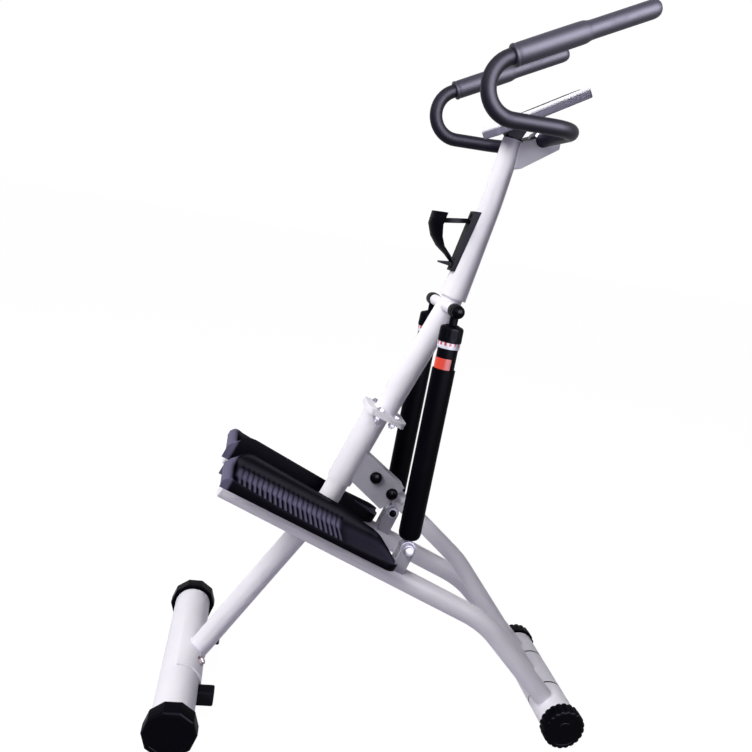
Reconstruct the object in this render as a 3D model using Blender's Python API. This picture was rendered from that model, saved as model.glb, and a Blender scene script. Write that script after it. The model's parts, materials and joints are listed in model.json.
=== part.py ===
# Stair stepper with two hydraulic cylinders, a tall post, a loop handlebar and a small console.
# Metres, Z up. Lengths along X are counted from the rear base's axis; the rider faces +X.
import math

import bmesh
import bpy
from mathutils import Matrix, Vector

# Bases that stand on the floor
BASE_SPACING = 0.738
REAR_CAP_FLAT = 0.0447
REAR_CAP_SIDES = 10
REAR_CAP_RIM = 0.200
REAR_HALF_WIDTH = 0.230
REAR_TUBE_R = 0.037
FRONT_CAP_R = 0.0417
FRONT_CAP_RIBS = 20
FRONT_CAP_RIM = 0.132
FRONT_HALF_WIDTH = 0.158
FRONT_TUBE_R = 0.036
CENTRE_TUBE_HALF = 0.053
SLEEVE_INNER = 0.057
SLEEVE_OUTER = 0.1285
AXLE_R = 0.0125

# Post, from the rear base up
LEG_R = 0.021
LEG_FOOT = (0.0145, 0.047)
LEG_BEND = (0.232, 0.400)
LOWER_POST_R = 0.025
LOWER_POST_ANGLE = math.radians(70.0)
LOWER_POST_START = 0.045
FLANGE_CENTRE = (0.311, 0.584)
FLANGE_ANGLE = math.radians(69.5)
FLANGE_SIZE = 0.080
FLANGE_THICK = 0.006
MIDDLE_POST_R = 0.022
POST_BEND = (0.3985, 0.808)
UPPER_POST_START = (0.4015, 0.818)
UPPER_POST_BEND = (0.441, 1.000)
UPPER_POST_TOP = (0.457, 1.112)
UPPER_POST_R = (0.025, 0.019, 0.0183)

# Front leg and the bracket that holds it
FRONT_LEG_R = 0.0164
BRACKET_BOLTS = ((0.313, 0.462), (0.349, 0.433))
FRONT_LEG_BEND = (0.5117, 0.3017)
BRACKET_OUTLINE = ((0.248, 0.464), (0.2812, 0.5120), (0.3722, 0.4460), (0.350, 0.412), (0.332, 0.399))

# Pedal arms, pedals and cylinders
SIDE_Y = 0.0875
ARM_R = 0.0198
ARM_HEEL = (0.032, 0.438)
PEDAL_SLOPE = math.radians(21.9)
ARM_BEND = (0.5597, 0.2185)
ARM_END = (0.7397, 0.039)
ARM_BEND_R = 0.214
VENT_R = 0.004
PIN_ALONG = 0.3531
PIN_ABOVE = 0.0546
TOP_PIVOT = (0.388, 0.803)
PEDAL_OUTER = 0.057
PEDAL_INNER = 0.042
TREAD = 0.023
CLEVIS_HALF = 0.0154
CLEVIS_GAP = 0.0116

# Handlebar and console
BAR_R = 0.0127
BAR_AXIS = (0.506, 1.1194)
BAR_HALF_WIDTH = 0.1803
HORN_CORNER = (0.1926, 1.1094)
HORN_TIP = (0.5815, 1.3157)
GRIP_ANGLE = math.radians(27.95)
GRIP_START = (0.376, 1.2067)
CONSOLE_CENTRE = (0.4885, 1.1636)
CONSOLE_ANGLE = math.radians(31.1)
CONSOLE_SIZE = (0.181, 0.096, 0.0195)

# Shared
WALL = 0.002
GAP = 0.0003
BIG = 32
ROUND = 24
SMALL = 16

REAR_AXIS_Z = REAR_CAP_FLAT
REAR_CAP_CORNER = REAR_CAP_FLAT / math.cos(math.pi / REAR_CAP_SIDES)
FRONT_CAP_REACH = FRONT_CAP_R * math.cos(math.pi / FRONT_CAP_RIBS / 4)
FRONT_AXIS_Z = FRONT_CAP_REACH
REAR_X = -(BASE_SPACING + FRONT_CAP_REACH - REAR_CAP_CORNER) / 2
SIDES = {"left": 1, "right": -1}


# Blender housekeeping
def clear_scene():
    for thing in list(bpy.data.objects):
        bpy.data.objects.remove(thing, do_unlink=True)


def make_finish(name, colour, roughness, metallic=0.0):
    finish = bpy.data.materials.new(name)
    finish.use_nodes = True
    finish.diffuse_color = (*colour, 1.0)
    shader = finish.node_tree.nodes["Principled BSDF"]
    shader.inputs["Base Color"].default_value = (*colour, 1.0)
    shader.inputs["Roughness"].default_value = roughness
    shader.inputs["Metallic"].default_value = metallic
    return finish


def make_empty(name, parent, place, tilt=0.0):
    empty = bpy.data.objects.new(name, None)
    bpy.context.scene.collection.objects.link(empty)
    empty.parent = parent
    empty.location = place
    empty.rotation_euler = (0.0, tilt, 0.0)
    return empty


def make_object(name, bm, parent, place=(0.0, 0.0, 0.0), turn=(0.0, 0.0, 0.0)):
    bmesh.ops.recalc_face_normals(bm, faces=bm.faces[:])
    mesh = bpy.data.meshes.new(name)
    bm.to_mesh(mesh)
    bm.free()
    thing = bpy.data.objects.new(name, mesh)
    bpy.context.scene.collection.objects.link(thing)
    thing.parent = parent
    thing.location = place
    thing.rotation_euler = turn
    return thing


def make_piece(name, bm, finish, parent, place=(0.0, 0.0, 0.0), turn=(0.0, 0.0, 0.0)):
    piece = make_object(name, bm, parent, place, turn)
    piece.data.shade_smooth()
    piece.data.set_sharp_from_angle(angle=math.radians(35.0))
    piece.data.materials.append(finish)
    return piece


def make_cutter(name, bm, parent, place=(0.0, 0.0, 0.0), turn=(0.0, 0.0, 0.0)):
    cutter = make_object(name, bm, parent, place, turn)
    cutter.hide_render = True
    cutter.display_type = "WIRE"
    return cutter


def cut(piece, *cutters):
    for cutter in cutters:
        change = piece.modifiers.new("cut", "BOOLEAN")
        change.operation = "DIFFERENCE"
        change.solver = "EXACT"
        change.object = cutter


def weld(piece, *others):
    for other in others:
        change = piece.modifiers.new("weld", "BOOLEAN")
        change.operation = "UNION"
        change.solver = "EXACT"
        change.object = other


# Turns that point a turned piece's own Z axis along Y, to the left or to the right
def across(side=1):
    return (-side * math.pi / 2, 0.0, 0.0)


def at(point, y=0.0):
    return Vector((point[0], y, point[1]))


def along(point, angle, distance):
    return (point[0] + math.cos(angle) * distance, point[1] + math.sin(angle) * distance)


# Shapes
def join_rows(bm, rows):
    for low, high in zip(rows, rows[1:]):
        for index in range(len(low)):
            after = (index + 1) % len(low)
            bm.faces.new((low[index], low[after], high[after], high[index]))


def turned(profile, sides):
    # Radius and height points; a profile that starts on the axis also ends there, any other is a ring
    bm = bmesh.new()
    corners = [bm.verts.new((radius, 0.0, height)) for radius, height in profile]
    ends = corners[1:] if profile[0][0] == 0.0 else corners[1:] + corners[:1]
    edges = [bm.edges.new(pair) for pair in zip(corners, ends)]
    bmesh.ops.spin(bm, geom=corners + edges, cent=(0, 0, 0), axis=(0, 0, 1),
                   angle=math.tau, steps=sides, use_merge=True)
    bmesh.ops.remove_doubles(bm, verts=bm.verts[:], dist=1e-6)
    return bm


def swept(path, radius, sides, wall=0.0, radii=None):
    # A round bar along a path, or a tube if it has a wall
    bm = bmesh.new()
    outer = []
    inner = []
    lead = (path[1] - path[0]).normalized()
    normal = Vector((1, 0, 0)) if abs(lead.y) > 0.9 else Vector((0, 1, 0))
    for index, point in enumerate(path):
        ahead = path[min(index + 1, len(path) - 1)]
        behind = path[max(index - 1, 0)]
        lead = (ahead - behind).normalized()
        normal = (normal - lead * normal.dot(lead)).normalized()
        side = lead.cross(normal)
        size = radii[index] if radii else radius
        spokes = [normal * math.cos(math.tau * k / sides) + side * math.sin(math.tau * k / sides)
                  for k in range(sides)]
        outer.append([bm.verts.new(point + spoke * size) for spoke in spokes])
        if wall:
            inner.append([bm.verts.new(point + spoke * (size - wall)) for spoke in spokes])
    if wall:
        join_rows(bm, outer + inner[::-1] + outer[:1])
    else:
        join_rows(bm, outer)
        bm.faces.new(outer[0])
        bm.faces.new(outer[-1])
    return bm


def rounded(corners, bends, steps=6):
    # Corner points joined by straight runs, each inner corner rounded by its own bend radius
    path = [corners[0]]
    for behind, corner, ahead, bend in zip(corners, corners[1:], corners[2:], bends):
        into = (corner - behind).normalized()
        away = (ahead - corner).normalized()
        turn = into.angle(away)
        centre = corner + (away - into).normalized() * (bend / math.cos(turn / 2))
        spoke = corner - into * (bend * math.tan(turn / 2)) - centre
        axis = into.cross(away).normalized()
        for step in range(steps + 1):
            path.append(centre + Matrix.Rotation(turn * step / steps, 3, axis) @ spoke)
    path.append(corners[-1])
    return path


def plate(outline, low, high):
    # A flat plate with its outline in X and Z, between two places along Y
    bm = bmesh.new()
    face = bm.faces.new([bm.verts.new((x, low, z)) for x, z in outline])
    grown = bmesh.ops.extrude_face_region(bm, geom=[face])
    moved = [item for item in grown["geom"] if isinstance(item, bmesh.types.BMVert)]
    bmesh.ops.translate(bm, verts=moved, vec=(0.0, high - low, 0.0))
    return bm


def block(low, high, bevel=0.0):
    bm = bmesh.new()
    middle = [(a + b) / 2 for a, b in zip(low, high)]
    size = [b - a for a, b in zip(low, high)]
    bmesh.ops.create_cube(bm, size=1.0, matrix=Matrix.Translation(middle) @ Matrix.Diagonal((*size, 1.0)))
    if bevel:
        bmesh.ops.bevel(bm, geom=bm.edges[:], offset=bevel, segments=2, profile=0.5, affect="EDGES")
    return bm


def lofted(rows):
    # Rows of points, all of the same count, skinned and closed at both ends
    bm = bmesh.new()
    rings = [[bm.verts.new(point) for point in row] for row in rows]
    join_rows(bm, rings)
    bm.faces.new(rings[0])
    bm.faces.new(rings[-1])
    return bm


def grouped(parts):
    # Several loose solids in one mesh, each given with the matrix that places it
    whole = bmesh.new()
    for part, matrix in parts:
        loose = bpy.data.meshes.new("loose")
        bmesh.ops.recalc_face_normals(part, faces=part.faces[:])
        part.to_mesh(loose)
        part.free()
        loose.transform(matrix)
        whole.from_mesh(loose)
        bpy.data.meshes.remove(loose)
    return whole


def placed(bm, matrix):
    bmesh.ops.transform(bm, matrix=matrix, verts=bm.verts[:])
    return bm


def arc(centre, radius, start, end, steps):
    angles = [start + (end - start) * step / steps for step in range(steps + 1)]
    return [(centre[0] + radius * math.cos(angle), centre[1] + radius * math.sin(angle)) for angle in angles]


def bolt(shank, length, head, height):
    # Head above zero height, shank below
    return turned([(0.0, -length), (shank, -length), (shank, 0.0), (head, 0.0),
                   (head, height * 0.65), (head * 0.7, height), (0.0, height)], SMALL)


def pointing(place, direction):
    # Matrix that puts a turned piece's own Z axis along a direction
    return Matrix.Translation(place) @ direction.to_track_quat("Z", "Y").to_matrix().to_4x4()


# Finishes
def finishes():
    return {
        "white": make_finish("white_powder_coat", (0.82, 0.82, 0.87), 0.35),
        "plate": make_finish("grey_white_plate", (0.58, 0.57, 0.62), 0.4),
        "black": make_finish("black_plastic", (0.012, 0.012, 0.016), 0.35),
        "gloss": make_finish("black_gloss_plastic", (0.01, 0.01, 0.018), 0.2),
        "rubber": make_finish("black_rubber", (0.012, 0.012, 0.014), 0.7),
        "coat": make_finish("black_coated_steel", (0.015, 0.014, 0.022), 0.4),
        "vinyl": make_finish("black_vinyl", (0.015, 0.014, 0.022), 0.45),
        "steel": make_finish("bright_steel", (0.6, 0.6, 0.62), 0.3, 1.0),
        "silver": make_finish("silver_plastic", (0.45, 0.44, 0.52), 0.35, 0.4),
        "scale": make_finish("white_plastic", (0.8, 0.8, 0.84), 0.4),
        "window": make_finish("grey_window", (0.28, 0.33, 0.3), 0.1),
        "board": make_finish("green_board", (0.02, 0.16, 0.06), 0.5),
    }


# Rear base, its saddle and the leg
SADDLE_R = (0.0376, 0.0411)
SADDLE_HALF = 0.085
SADDLE_BOLT_ANGLE = math.radians(34.0)
SADDLE_BOLT_Y = 0.047
CAP_WALL = 0.0075
BUMPER_Y = 0.100


def rear_axis(y=0.0):
    return Vector((0.0, y, REAR_AXIS_Z))


def saddle_bolt_places(radius):
    reach = Vector((math.cos(SADDLE_BOLT_ANGLE), 0.0, math.sin(SADDLE_BOLT_ANGLE)))
    return [pointing(rear_axis(y) + reach * radius, reach) for y in (-SADDLE_BOLT_Y, SADDLE_BOLT_Y)]


def build_rear_base(stand, look):
    end = REAR_HALF_WIDTH - CAP_WALL - GAP
    holes = make_cutter("saddle_bolt_holes", grouped([
        (turned([(0.0, -0.03), (0.0043, -0.03), (0.0043, 0.01), (0.0, 0.01)], SMALL), matrix)
        for matrix in saddle_bolt_places(SADDLE_R[1])]), stand)
    tube = make_piece("rear_base_tube", turned([
        (REAR_TUBE_R - WALL, -end), (REAR_TUBE_R, -end), (REAR_TUBE_R, end), (REAR_TUBE_R - WALL, end)],
        BIG), look["white"], stand, rear_axis(), across())
    cut(tube, holes)

    depth = REAR_HALF_WIDTH - REAR_CAP_RIM
    for name, side in SIDES.items():
        rim = rear_axis(side * REAR_CAP_RIM)
        cap = make_piece("rear_cap_" + name, turned([
            (0.0, 0.0), (REAR_CAP_CORNER, 0.0), (REAR_CAP_CORNER, depth - 0.005),
            (REAR_CAP_CORNER - 0.005, depth), (0.0, depth)], REAR_CAP_SIDES),
            look["black"], stand, rim, across(side))
        socket = make_cutter("rear_socket_" + name, turned([
            (0.0, -0.01), (REAR_TUBE_R + GAP, -0.01), (REAR_TUBE_R + GAP, depth - CAP_WALL),
            (0.0, depth - CAP_WALL)], BIG), stand, rim, across(side))
        cut(cap, socket)

    step = math.tau / BIG
    inner, outer = SADDLE_R
    outline = (arc((0.0, REAR_AXIS_Z), outer, -step, 9 * step, 10)
               + arc((0.0, REAR_AXIS_Z), inner, 9 * step, -step, 10))
    saddle = make_piece("leg_saddle", plate(outline, -SADDLE_HALF, SADDLE_HALF), look["white"], stand)
    cut(saddle, holes)
    for name, place in zip(("right", "left"), saddle_bolt_places(outer + GAP)):
        make_piece("saddle_bolt_" + name, placed(bolt(0.004, 0.016, 0.0078, 0.0055), place),
                   look["steel"], stand)

    tube_guide = make_cutter("rear_tube_guide", turned([
        (0.0, -SADDLE_HALF - 0.03), (REAR_TUBE_R + GAP, -SADDLE_HALF - 0.03),
        (REAR_TUBE_R + GAP, SADDLE_HALF + 0.03), (0.0, SADDLE_HALF + 0.03)], BIG),
        stand, rear_axis(), across())
    for name, side in SIDES.items():
        bumper = make_piece("rear_bumper_" + name, block((0.030, -0.013, 0.019), (0.067, 0.013, 0.048), 0.003),
                            look["rubber"], stand, (0.0, side * BUMPER_Y, 0.0))
        cut(bumper, tube_guide)


def lower_post_path():
    start = along(LEG_BEND, LOWER_POST_ANGLE, LOWER_POST_START)
    drop = (FLANGE_CENTRE[1] - start[1]) / math.sin(LOWER_POST_ANGLE)
    return [at(start), at(along(start, LOWER_POST_ANGLE, drop))]


def build_rear_leg(stand, look):
    bottom = at(LEG_FOOT)
    bend = at(LEG_BEND)
    top = at(along(LEG_BEND, LOWER_POST_ANGLE, 0.120))
    leg = make_piece("rear_leg", swept(rounded([bottom, bend, top], [0.150]), LEG_R, ROUND, WALL),
                     look["white"], stand)
    saddle_guide = make_cutter("saddle_guide", turned([
        (0.0, -0.05), (SADDLE_R[1] + GAP, -0.05), (SADDLE_R[1] + GAP, 0.05), (0.0, 0.05)], BIG),
        stand, rear_axis(), across())
    cut(leg, saddle_guide)


# Flange joint between the lower and the middle post
FLANGE_BOLTS = ((-0.016, -0.033), (0.016, -0.033), (-0.016, 0.033), (0.016, 0.033))


def flange_plate(low, high):
    half = FLANGE_SIZE / 2
    bm = block((-half, -half, low), (half, half, high))
    upright = [edge for edge in bm.edges if abs(edge.verts[0].co.z - edge.verts[1].co.z) > GAP]
    bmesh.ops.bevel(bm, geom=upright, offset=0.012, segments=3, profile=0.5, affect="EDGES")
    return bm


def build_posts(stand, look):
    tilt = math.pi / 2 - FLANGE_ANGLE
    flange = make_empty("flange_joint", stand, at(FLANGE_CENTRE), tilt)
    holes = make_cutter("flange_bolt_holes", grouped([
        (turned([(0.0, -0.02), (0.0043, -0.02), (0.0043, 0.02), (0.0, 0.02)], SMALL),
         Matrix.Translation((x, y, 0.0))) for x, y in FLANGE_BOLTS]), flange)

    above = make_cutter("above_lower_flange", block((-0.09, -0.09, -GAP / 2), (0.09, 0.09, 0.09)), flange)
    lower = make_piece("lower_post", swept(lower_post_path(), LOWER_POST_R, ROUND, WALL),
                       look["white"], stand)
    lower_plate = make_cutter("lower_flange", flange_plate(-FLANGE_THICK, -GAP / 2), flange)
    weld(lower, lower_plate)
    cut(lower, above, holes)

    below = make_cutter("below_upper_flange", block((-0.09, -0.09, -0.09), (0.09, 0.09, GAP / 2)), flange)
    spigot = along(POST_BEND, math.radians(77.6), 0.070)
    path = rounded([at(along(FLANGE_CENTRE, FLANGE_ANGLE, -0.004)), at(POST_BEND), at(spigot)], [0.120], 4)
    narrow = MIDDLE_POST_R - 0.0018
    radii = [MIDDLE_POST_R, MIDDLE_POST_R] + [narrow] * (len(path) - 2)
    middle = make_piece("middle_post", swept(path, MIDDLE_POST_R, ROUND, WALL, radii),
                        look["white"], stand)
    upper_plate = make_cutter("upper_flange", flange_plate(GAP / 2, FLANGE_THICK), flange)
    weld(middle, upper_plate)
    reach = SIDE_Y - EYE_HALF - 0.001
    cross_tube = make_cutter("cross_tube", turned([
        (0.0, -reach), (CROSS_TUBE_R, -reach), (CROSS_TUBE_R, reach), (0.0, reach)], ROUND),
        stand, at(TOP_PIVOT), across())
    bore = make_cutter("cross_tube_bore", turned([
        (0.0, -0.1), (PIVOT_AXLE_R + GAP, -0.1), (PIVOT_AXLE_R + GAP, 0.1), (0.0, 0.1)], SMALL),
        stand, at(TOP_PIVOT), across())
    weld(middle, cross_tube)
    cut(middle, below, holes, bore)

    grip = FLANGE_THICK + GAP
    profile = [(0.0, -grip - 0.009), (0.004, -grip - 0.009), (0.004, -grip - 0.0065),
               (0.0070, -grip - 0.0065), (0.0070, -grip), (0.004, -grip), (0.004, grip),
               (0.0070, grip), (0.0070, grip + 0.0045), (0.0, grip + 0.0045)]
    for number, (x, y) in enumerate(FLANGE_BOLTS, 1):
        make_piece(f"flange_bolt_{number}", turned(profile, 12), look["steel"], flange, (x, y, 0.0))


def upper_post_line(extra=0.0):
    start = at(UPPER_POST_START)
    bend = at(UPPER_POST_BEND)
    top = at(UPPER_POST_TOP)
    path = rounded([start, bend, top], [0.400], 2)
    bottom_r, middle_r, top_r = UPPER_POST_R
    radii = []
    for point in path:
        if point.z < bend.z:
            share = (point.z - start.z) / (bend.z - start.z)
            radii.append(bottom_r + (middle_r - bottom_r) * share + extra)
        else:
            share = (point.z - bend.z) / (top.z - bend.z)
            radii.append(middle_r + (top_r - middle_r) * share + extra)
    return path, radii


# Cross tube and axle that carry the tops of the cylinders
CROSS_TUBE_R = 0.0105
PIVOT_AXLE_R = 0.006
EYE_HALF = 0.010
DOME_R = 0.0115


def dome(bore, depth, radius, height):
    # Rounded cap with a blind bore, its foot at zero height
    return turned([(0.0, depth), (bore, depth), (bore, 0.0), (radius * 0.86, 0.0), (radius, height * 0.35),
                   (radius * 0.88, height * 0.72), (radius * 0.5, height * 0.94), (0.0, height)], ROUND)


def build_cylinder_mount(stand, look):
    outer_end = SIDE_Y + EYE_HALF + 0.0075
    bore = PIVOT_AXLE_R + GAP
    make_piece("cylinder_axle", turned([
        (0.0, -outer_end), (PIVOT_AXLE_R, -outer_end), (PIVOT_AXLE_R, outer_end), (0.0, outer_end)],
        SMALL), look["steel"], stand, at(TOP_PIVOT), across())

    for name, side in SIDES.items():
        make_piece("axle_cap_" + name, dome(bore, 0.0075, DOME_R, 0.0165), look["black"], stand,
                   at(TOP_PIVOT, side * (SIDE_Y + EYE_HALF + 0.0008)), across(side))


# Bracket, front leg and front base
BRACKET_HALF = 0.0206
BRACKET_INSIDE = 0.0168
BRACKET_WEB = 0.003
BRACKET_BOLT_R = 0.005


def front_leg_path():
    first, second = (at(place) for place in BRACKET_BOLTS)
    rear_end = first - (second - first).normalized() * 0.021
    return rounded([rear_end, at(FRONT_LEG_BEND), Vector((BASE_SPACING - 0.012, 0.0, FRONT_AXIS_Z + 0.008))],
                   [0.260])


def build_front_leg(stand, look):
    outline = [Vector(point) for point in BRACKET_OUTLINE]
    run = (outline[2] - outline[1]).normalized()
    inward = Vector((run.y, -run.x))
    inside = [outline[1] - run * 0.05 + inward * BRACKET_WEB, outline[2] + run * 0.05 + inward * BRACKET_WEB,
              outline[2] + run * 0.05 + inward * 0.12, outline[1] - run * 0.05 + inward * 0.12]
    bracket = make_piece("front_bracket", plate(outline, -BRACKET_HALF, BRACKET_HALF), look["plate"], stand)
    hollow = make_cutter("bracket_inside", plate(inside, -BRACKET_INSIDE, BRACKET_INSIDE), stand)
    post_guide = make_cutter("lower_post_guide", swept(lower_post_path(), LOWER_POST_R + GAP, ROUND), stand)
    holes = make_cutter("bracket_bolt_holes", grouped([
        (turned([(0.0, -0.04), (0.0053, -0.04), (0.0053, 0.04), (0.0, 0.04)], SMALL),
         pointing(at(place), Vector((0, 1, 0)))) for place in BRACKET_BOLTS]), stand)
    cut(bracket, hollow, post_guide, holes)

    face = BRACKET_HALF + GAP
    half = [(BRACKET_BOLT_R, face), (0.0100, face), (0.0116, face + 0.004), (0.0100, face + 0.0085),
            (0.0055, face + 0.0110), (0.0, face + 0.0115)]
    profile = [(radius, -height) for radius, height in half[::-1]] + half
    for name, place in zip(("upper", "lower"), BRACKET_BOLTS):
        make_piece("bracket_bolt_" + name, turned(profile, ROUND), look["black"], stand, at(place), across())

    leg = make_piece("front_leg", swept(front_leg_path(), FRONT_LEG_R, ROUND, WALL), look["white"], stand)
    foot_guide = make_cutter("front_foot_guide", turned([
        (0.0, -0.05), (FRONT_TUBE_R + GAP, -0.05), (FRONT_TUBE_R + GAP, 0.05), (0.0, 0.05)], BIG),
        stand, front_axis(), across())
    cut(leg, holes, foot_guide)


def front_axis(y=0.0):
    return Vector((BASE_SPACING, y, FRONT_AXIS_Z))


def ribbed_ring(radius, valley, height):
    points = []
    for rib in range(FRONT_CAP_RIBS):
        for corner in range(4):
            reach = radius if corner < 2 else radius - valley
            angle = math.tau * (rib + (corner - 0.5) / 4) / FRONT_CAP_RIBS + math.pi / 2
            points.append((reach * math.cos(angle), reach * math.sin(angle), height))
    return points


def build_front_base(stand, look):
    half = CENTRE_TUBE_HALF
    bore = AXLE_R + GAP
    inside = FRONT_TUBE_R - 0.0025
    web = half - 0.004
    make_piece("front_centre_tube", turned([
        (bore, -half), (FRONT_TUBE_R, -half), (FRONT_TUBE_R, half), (bore, half),
        (bore, web), (inside, web), (inside, -web), (bore, -web)], BIG),
        look["white"], stand, front_axis(), across())
    end = FRONT_HALF_WIDTH - 0.009
    make_piece("front_axle", turned([
        (AXLE_R - 0.0025, -end), (AXLE_R, -end), (AXLE_R, end), (AXLE_R - 0.0025, end)], ROUND),
        look["steel"], stand, front_axis(), across())

    depth = FRONT_HALF_WIDTH - FRONT_CAP_RIM
    for name, side in SIDES.items():
        rim = front_axis(side * FRONT_CAP_RIM)
        cap = make_piece("front_cap_" + name, lofted([
            ribbed_ring(FRONT_CAP_R, 0.0018, 0.0), ribbed_ring(FRONT_CAP_R, 0.0018, depth - 0.004),
            ribbed_ring(FRONT_CAP_R - 0.004, 0.0010, depth)]), look["black"], stand, rim, across(side))
        socket = make_cutter("front_socket_" + name, grouped([
            (turned([(0.0, -0.01), (bore, -0.01), (bore, 0.018), (0.0, 0.018)], ROUND), Matrix()),
            (turned([(0.018, -0.01), (0.034, -0.01), (0.034, 0.019), (0.018, 0.019)], ROUND), Matrix())]),
            stand, rim, across(side))
        cut(cap, socket)


# Upper post and the bottle cage on its rear face
CAGE_RING_R = 0.036
CAGE_RING_CENTRE = (0.3685, 0.955)
CAGE_THICK = 0.003
CAGE_BACK = ((0.384, 0.867), (0.4085, 0.978), (0.440, 0.978), (0.420, 0.867))
CAGE_STRAP = ((0.3375, 0.967, 0.032), (0.3345, 0.945, 0.031), (0.342, 0.925, 0.028),
              (0.355, 0.909, 0.023), (0.373, 0.896, 0.017), (0.388, 0.882, 0.014))


def cage_strap():
    # A curved band that runs from the front of the ring down to the foot of the back plate
    bm = bmesh.new()
    rows = []
    across_steps = 6
    bend = CAGE_RING_R
    for x, z, half in CAGE_STRAP:
        row = []
        for step in range(across_steps + 1):
            y = half * (2 * step / across_steps - 1)
            row.append(bm.verts.new((x + bend - math.sqrt(bend * bend - y * y), y, z)))
        rows.append(row)
    for low, high in zip(rows, rows[1:]):
        for index in range(across_steps):
            bm.faces.new((low[index], low[index + 1], high[index + 1], high[index]))
    bmesh.ops.recalc_face_normals(bm, faces=bm.faces[:])
    bmesh.ops.solidify(bm, geom=bm.faces[:], thickness=CAGE_THICK)
    return bm


def build_upper_post(stand, look):
    path, radii = upper_post_line()
    make_piece("upper_post", swept(path, 0.0, ROUND, WALL, radii), look["white"], stand)

    path, radii = upper_post_line(GAP * 2)
    post_guide = make_cutter("upper_post_guide", swept(path, 0.0, ROUND, 0.0, radii), stand)
    cage = make_piece("bottle_cage", plate(CAGE_BACK, -0.0145, 0.0145), look["black"], stand)
    inner = CAGE_RING_R - CAGE_THICK
    ring = make_cutter("cage_ring", turned([
        (inner, -0.004), (CAGE_RING_R, -0.004), (CAGE_RING_R, 0.004), (inner, 0.004)], BIG),
        stand, at(CAGE_RING_CENTRE), (0.0, math.radians(-8.0), 0.0))
    strap = make_cutter("cage_strap", cage_strap(), stand)
    tab = make_cutter("cage_tab", plate(
        ((0.395, 0.884), (0.363, 0.881), (0.363, 0.878), (0.395, 0.873)), -0.011, 0.011), stand)
    weld(cage, ring, strap, tab)
    cut(cage, post_guide)


# Handlebar clamp, handlebar and grips
CRADLE_HALF = 0.020
CLAMP_BORE = BAR_R + GAP
CLAMP_OUTER = 0.0168
LUG_END = 0.033
CLAMP_BOLT_X = 0.0245
CLAMP_LUG = 0.0045
GUSSET = ((-0.0415, -0.0564), (-0.030, -0.0549), (0.033, -0.0105), (0.033, -GAP), (-0.016, -GAP),
          (-0.0415, -0.0125))


def build_clamp(stand, look):
    bar = make_empty("bar_axis", stand, at(BAR_AXIS))
    bore = make_cutter("bar_bore", turned([
        (0.0, -0.05), (CLAMP_BORE, -0.05), (CLAMP_BORE, 0.05), (0.0, 0.05)], ROUND),
        bar, (0, 0, 0), across())
    bolt_hole = make_cutter("clamp_bolt_hole", turned([
        (0.0, -0.05), (0.0035, -0.05), (0.0035, 0.05), (0.0, 0.05)], SMALL), bar, (CLAMP_BOLT_X, 0.0, 0.0))
    path, radii = upper_post_line(GAP * 2)
    path[-1] = path[-1] + (path[-1] - path[-2]).normalized() * 0.02
    post_guide = make_cutter("post_top_guide", swept(path, 0.0, ROUND, 0.0, radii), stand)

    cradle = make_piece("handlebar_cradle", plate(GUSSET, -CRADLE_HALF, CRADLE_HALF), look["plate"], bar)
    cut(cradle, bore, post_guide, bolt_hole)

    top = arc((0.0, 0.0), CLAMP_OUTER, math.radians(166), math.asin(CLAMP_LUG / CLAMP_OUTER), 10)
    outline = top + [(LUG_END, CLAMP_LUG), (LUG_END, 0.0), (0.0, 0.0), (-0.010, 0.0)]
    clamp = make_piece("handlebar_clamp", plate(outline, -CRADLE_HALF, CRADLE_HALF), look["steel"], bar)
    cut(clamp, bore, bolt_hole)

    make_piece("clamp_bolt", bolt(0.0032, 0.019, 0.0062, 0.0045), look["black"], bar,
               (CLAMP_BOLT_X, 0.0, CLAMP_LUG + GAP))


HORN_BENDS = (0.047, 0.0458, 0.0458, 0.047)
GRIP_R = (0.0172, 0.0145)


def build_handlebar(stand, look):
    axis = at(BAR_AXIS)
    pivot = make_empty("handlebar_pivot", stand, axis)
    half = []
    for side in (-1, 1):
        y = side * BAR_HALF_WIDTH
        half.append([at(HORN_TIP, y) - axis, at(HORN_CORNER, y) - axis, Vector((0.0, y, 0.0))])
    corners = half[0] + half[1][::-1]
    path = rounded(corners, HORN_BENDS, 6)
    make_piece("handlebar_tube", swept(path, BAR_R, SMALL, 0.0018), look["coat"], pivot)

    bore = BAR_R + GAP
    thick, thin = GRIP_R
    length = 0.243
    profile = [(0.0, 0.2335), (bore, 0.2335), (bore, 0.0), (thick - 0.001, 0.0), (thick, 0.002), (thick, 0.118),
               (thin, 0.122), (thin, 0.234), (thin - 0.003, 0.241), (0.0, length)]
    for name, side in SIDES.items():
        make_piece("grip_" + name, turned(profile, SMALL), look["vinyl"], pivot,
                   at(GRIP_START, side * BAR_HALF_WIDTH) - axis, (0.0, math.pi / 2 - GRIP_ANGLE, 0.0))


# Console on its bracket
CONSOLE_SPLIT = 0.0024
CONSOLE_WALL = 0.002
WINDOW = ((-0.015, -0.026), (0.075, 0.026))
BUTTON_X = -0.038
BUTTON = (0.0095, 0.0055)


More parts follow.
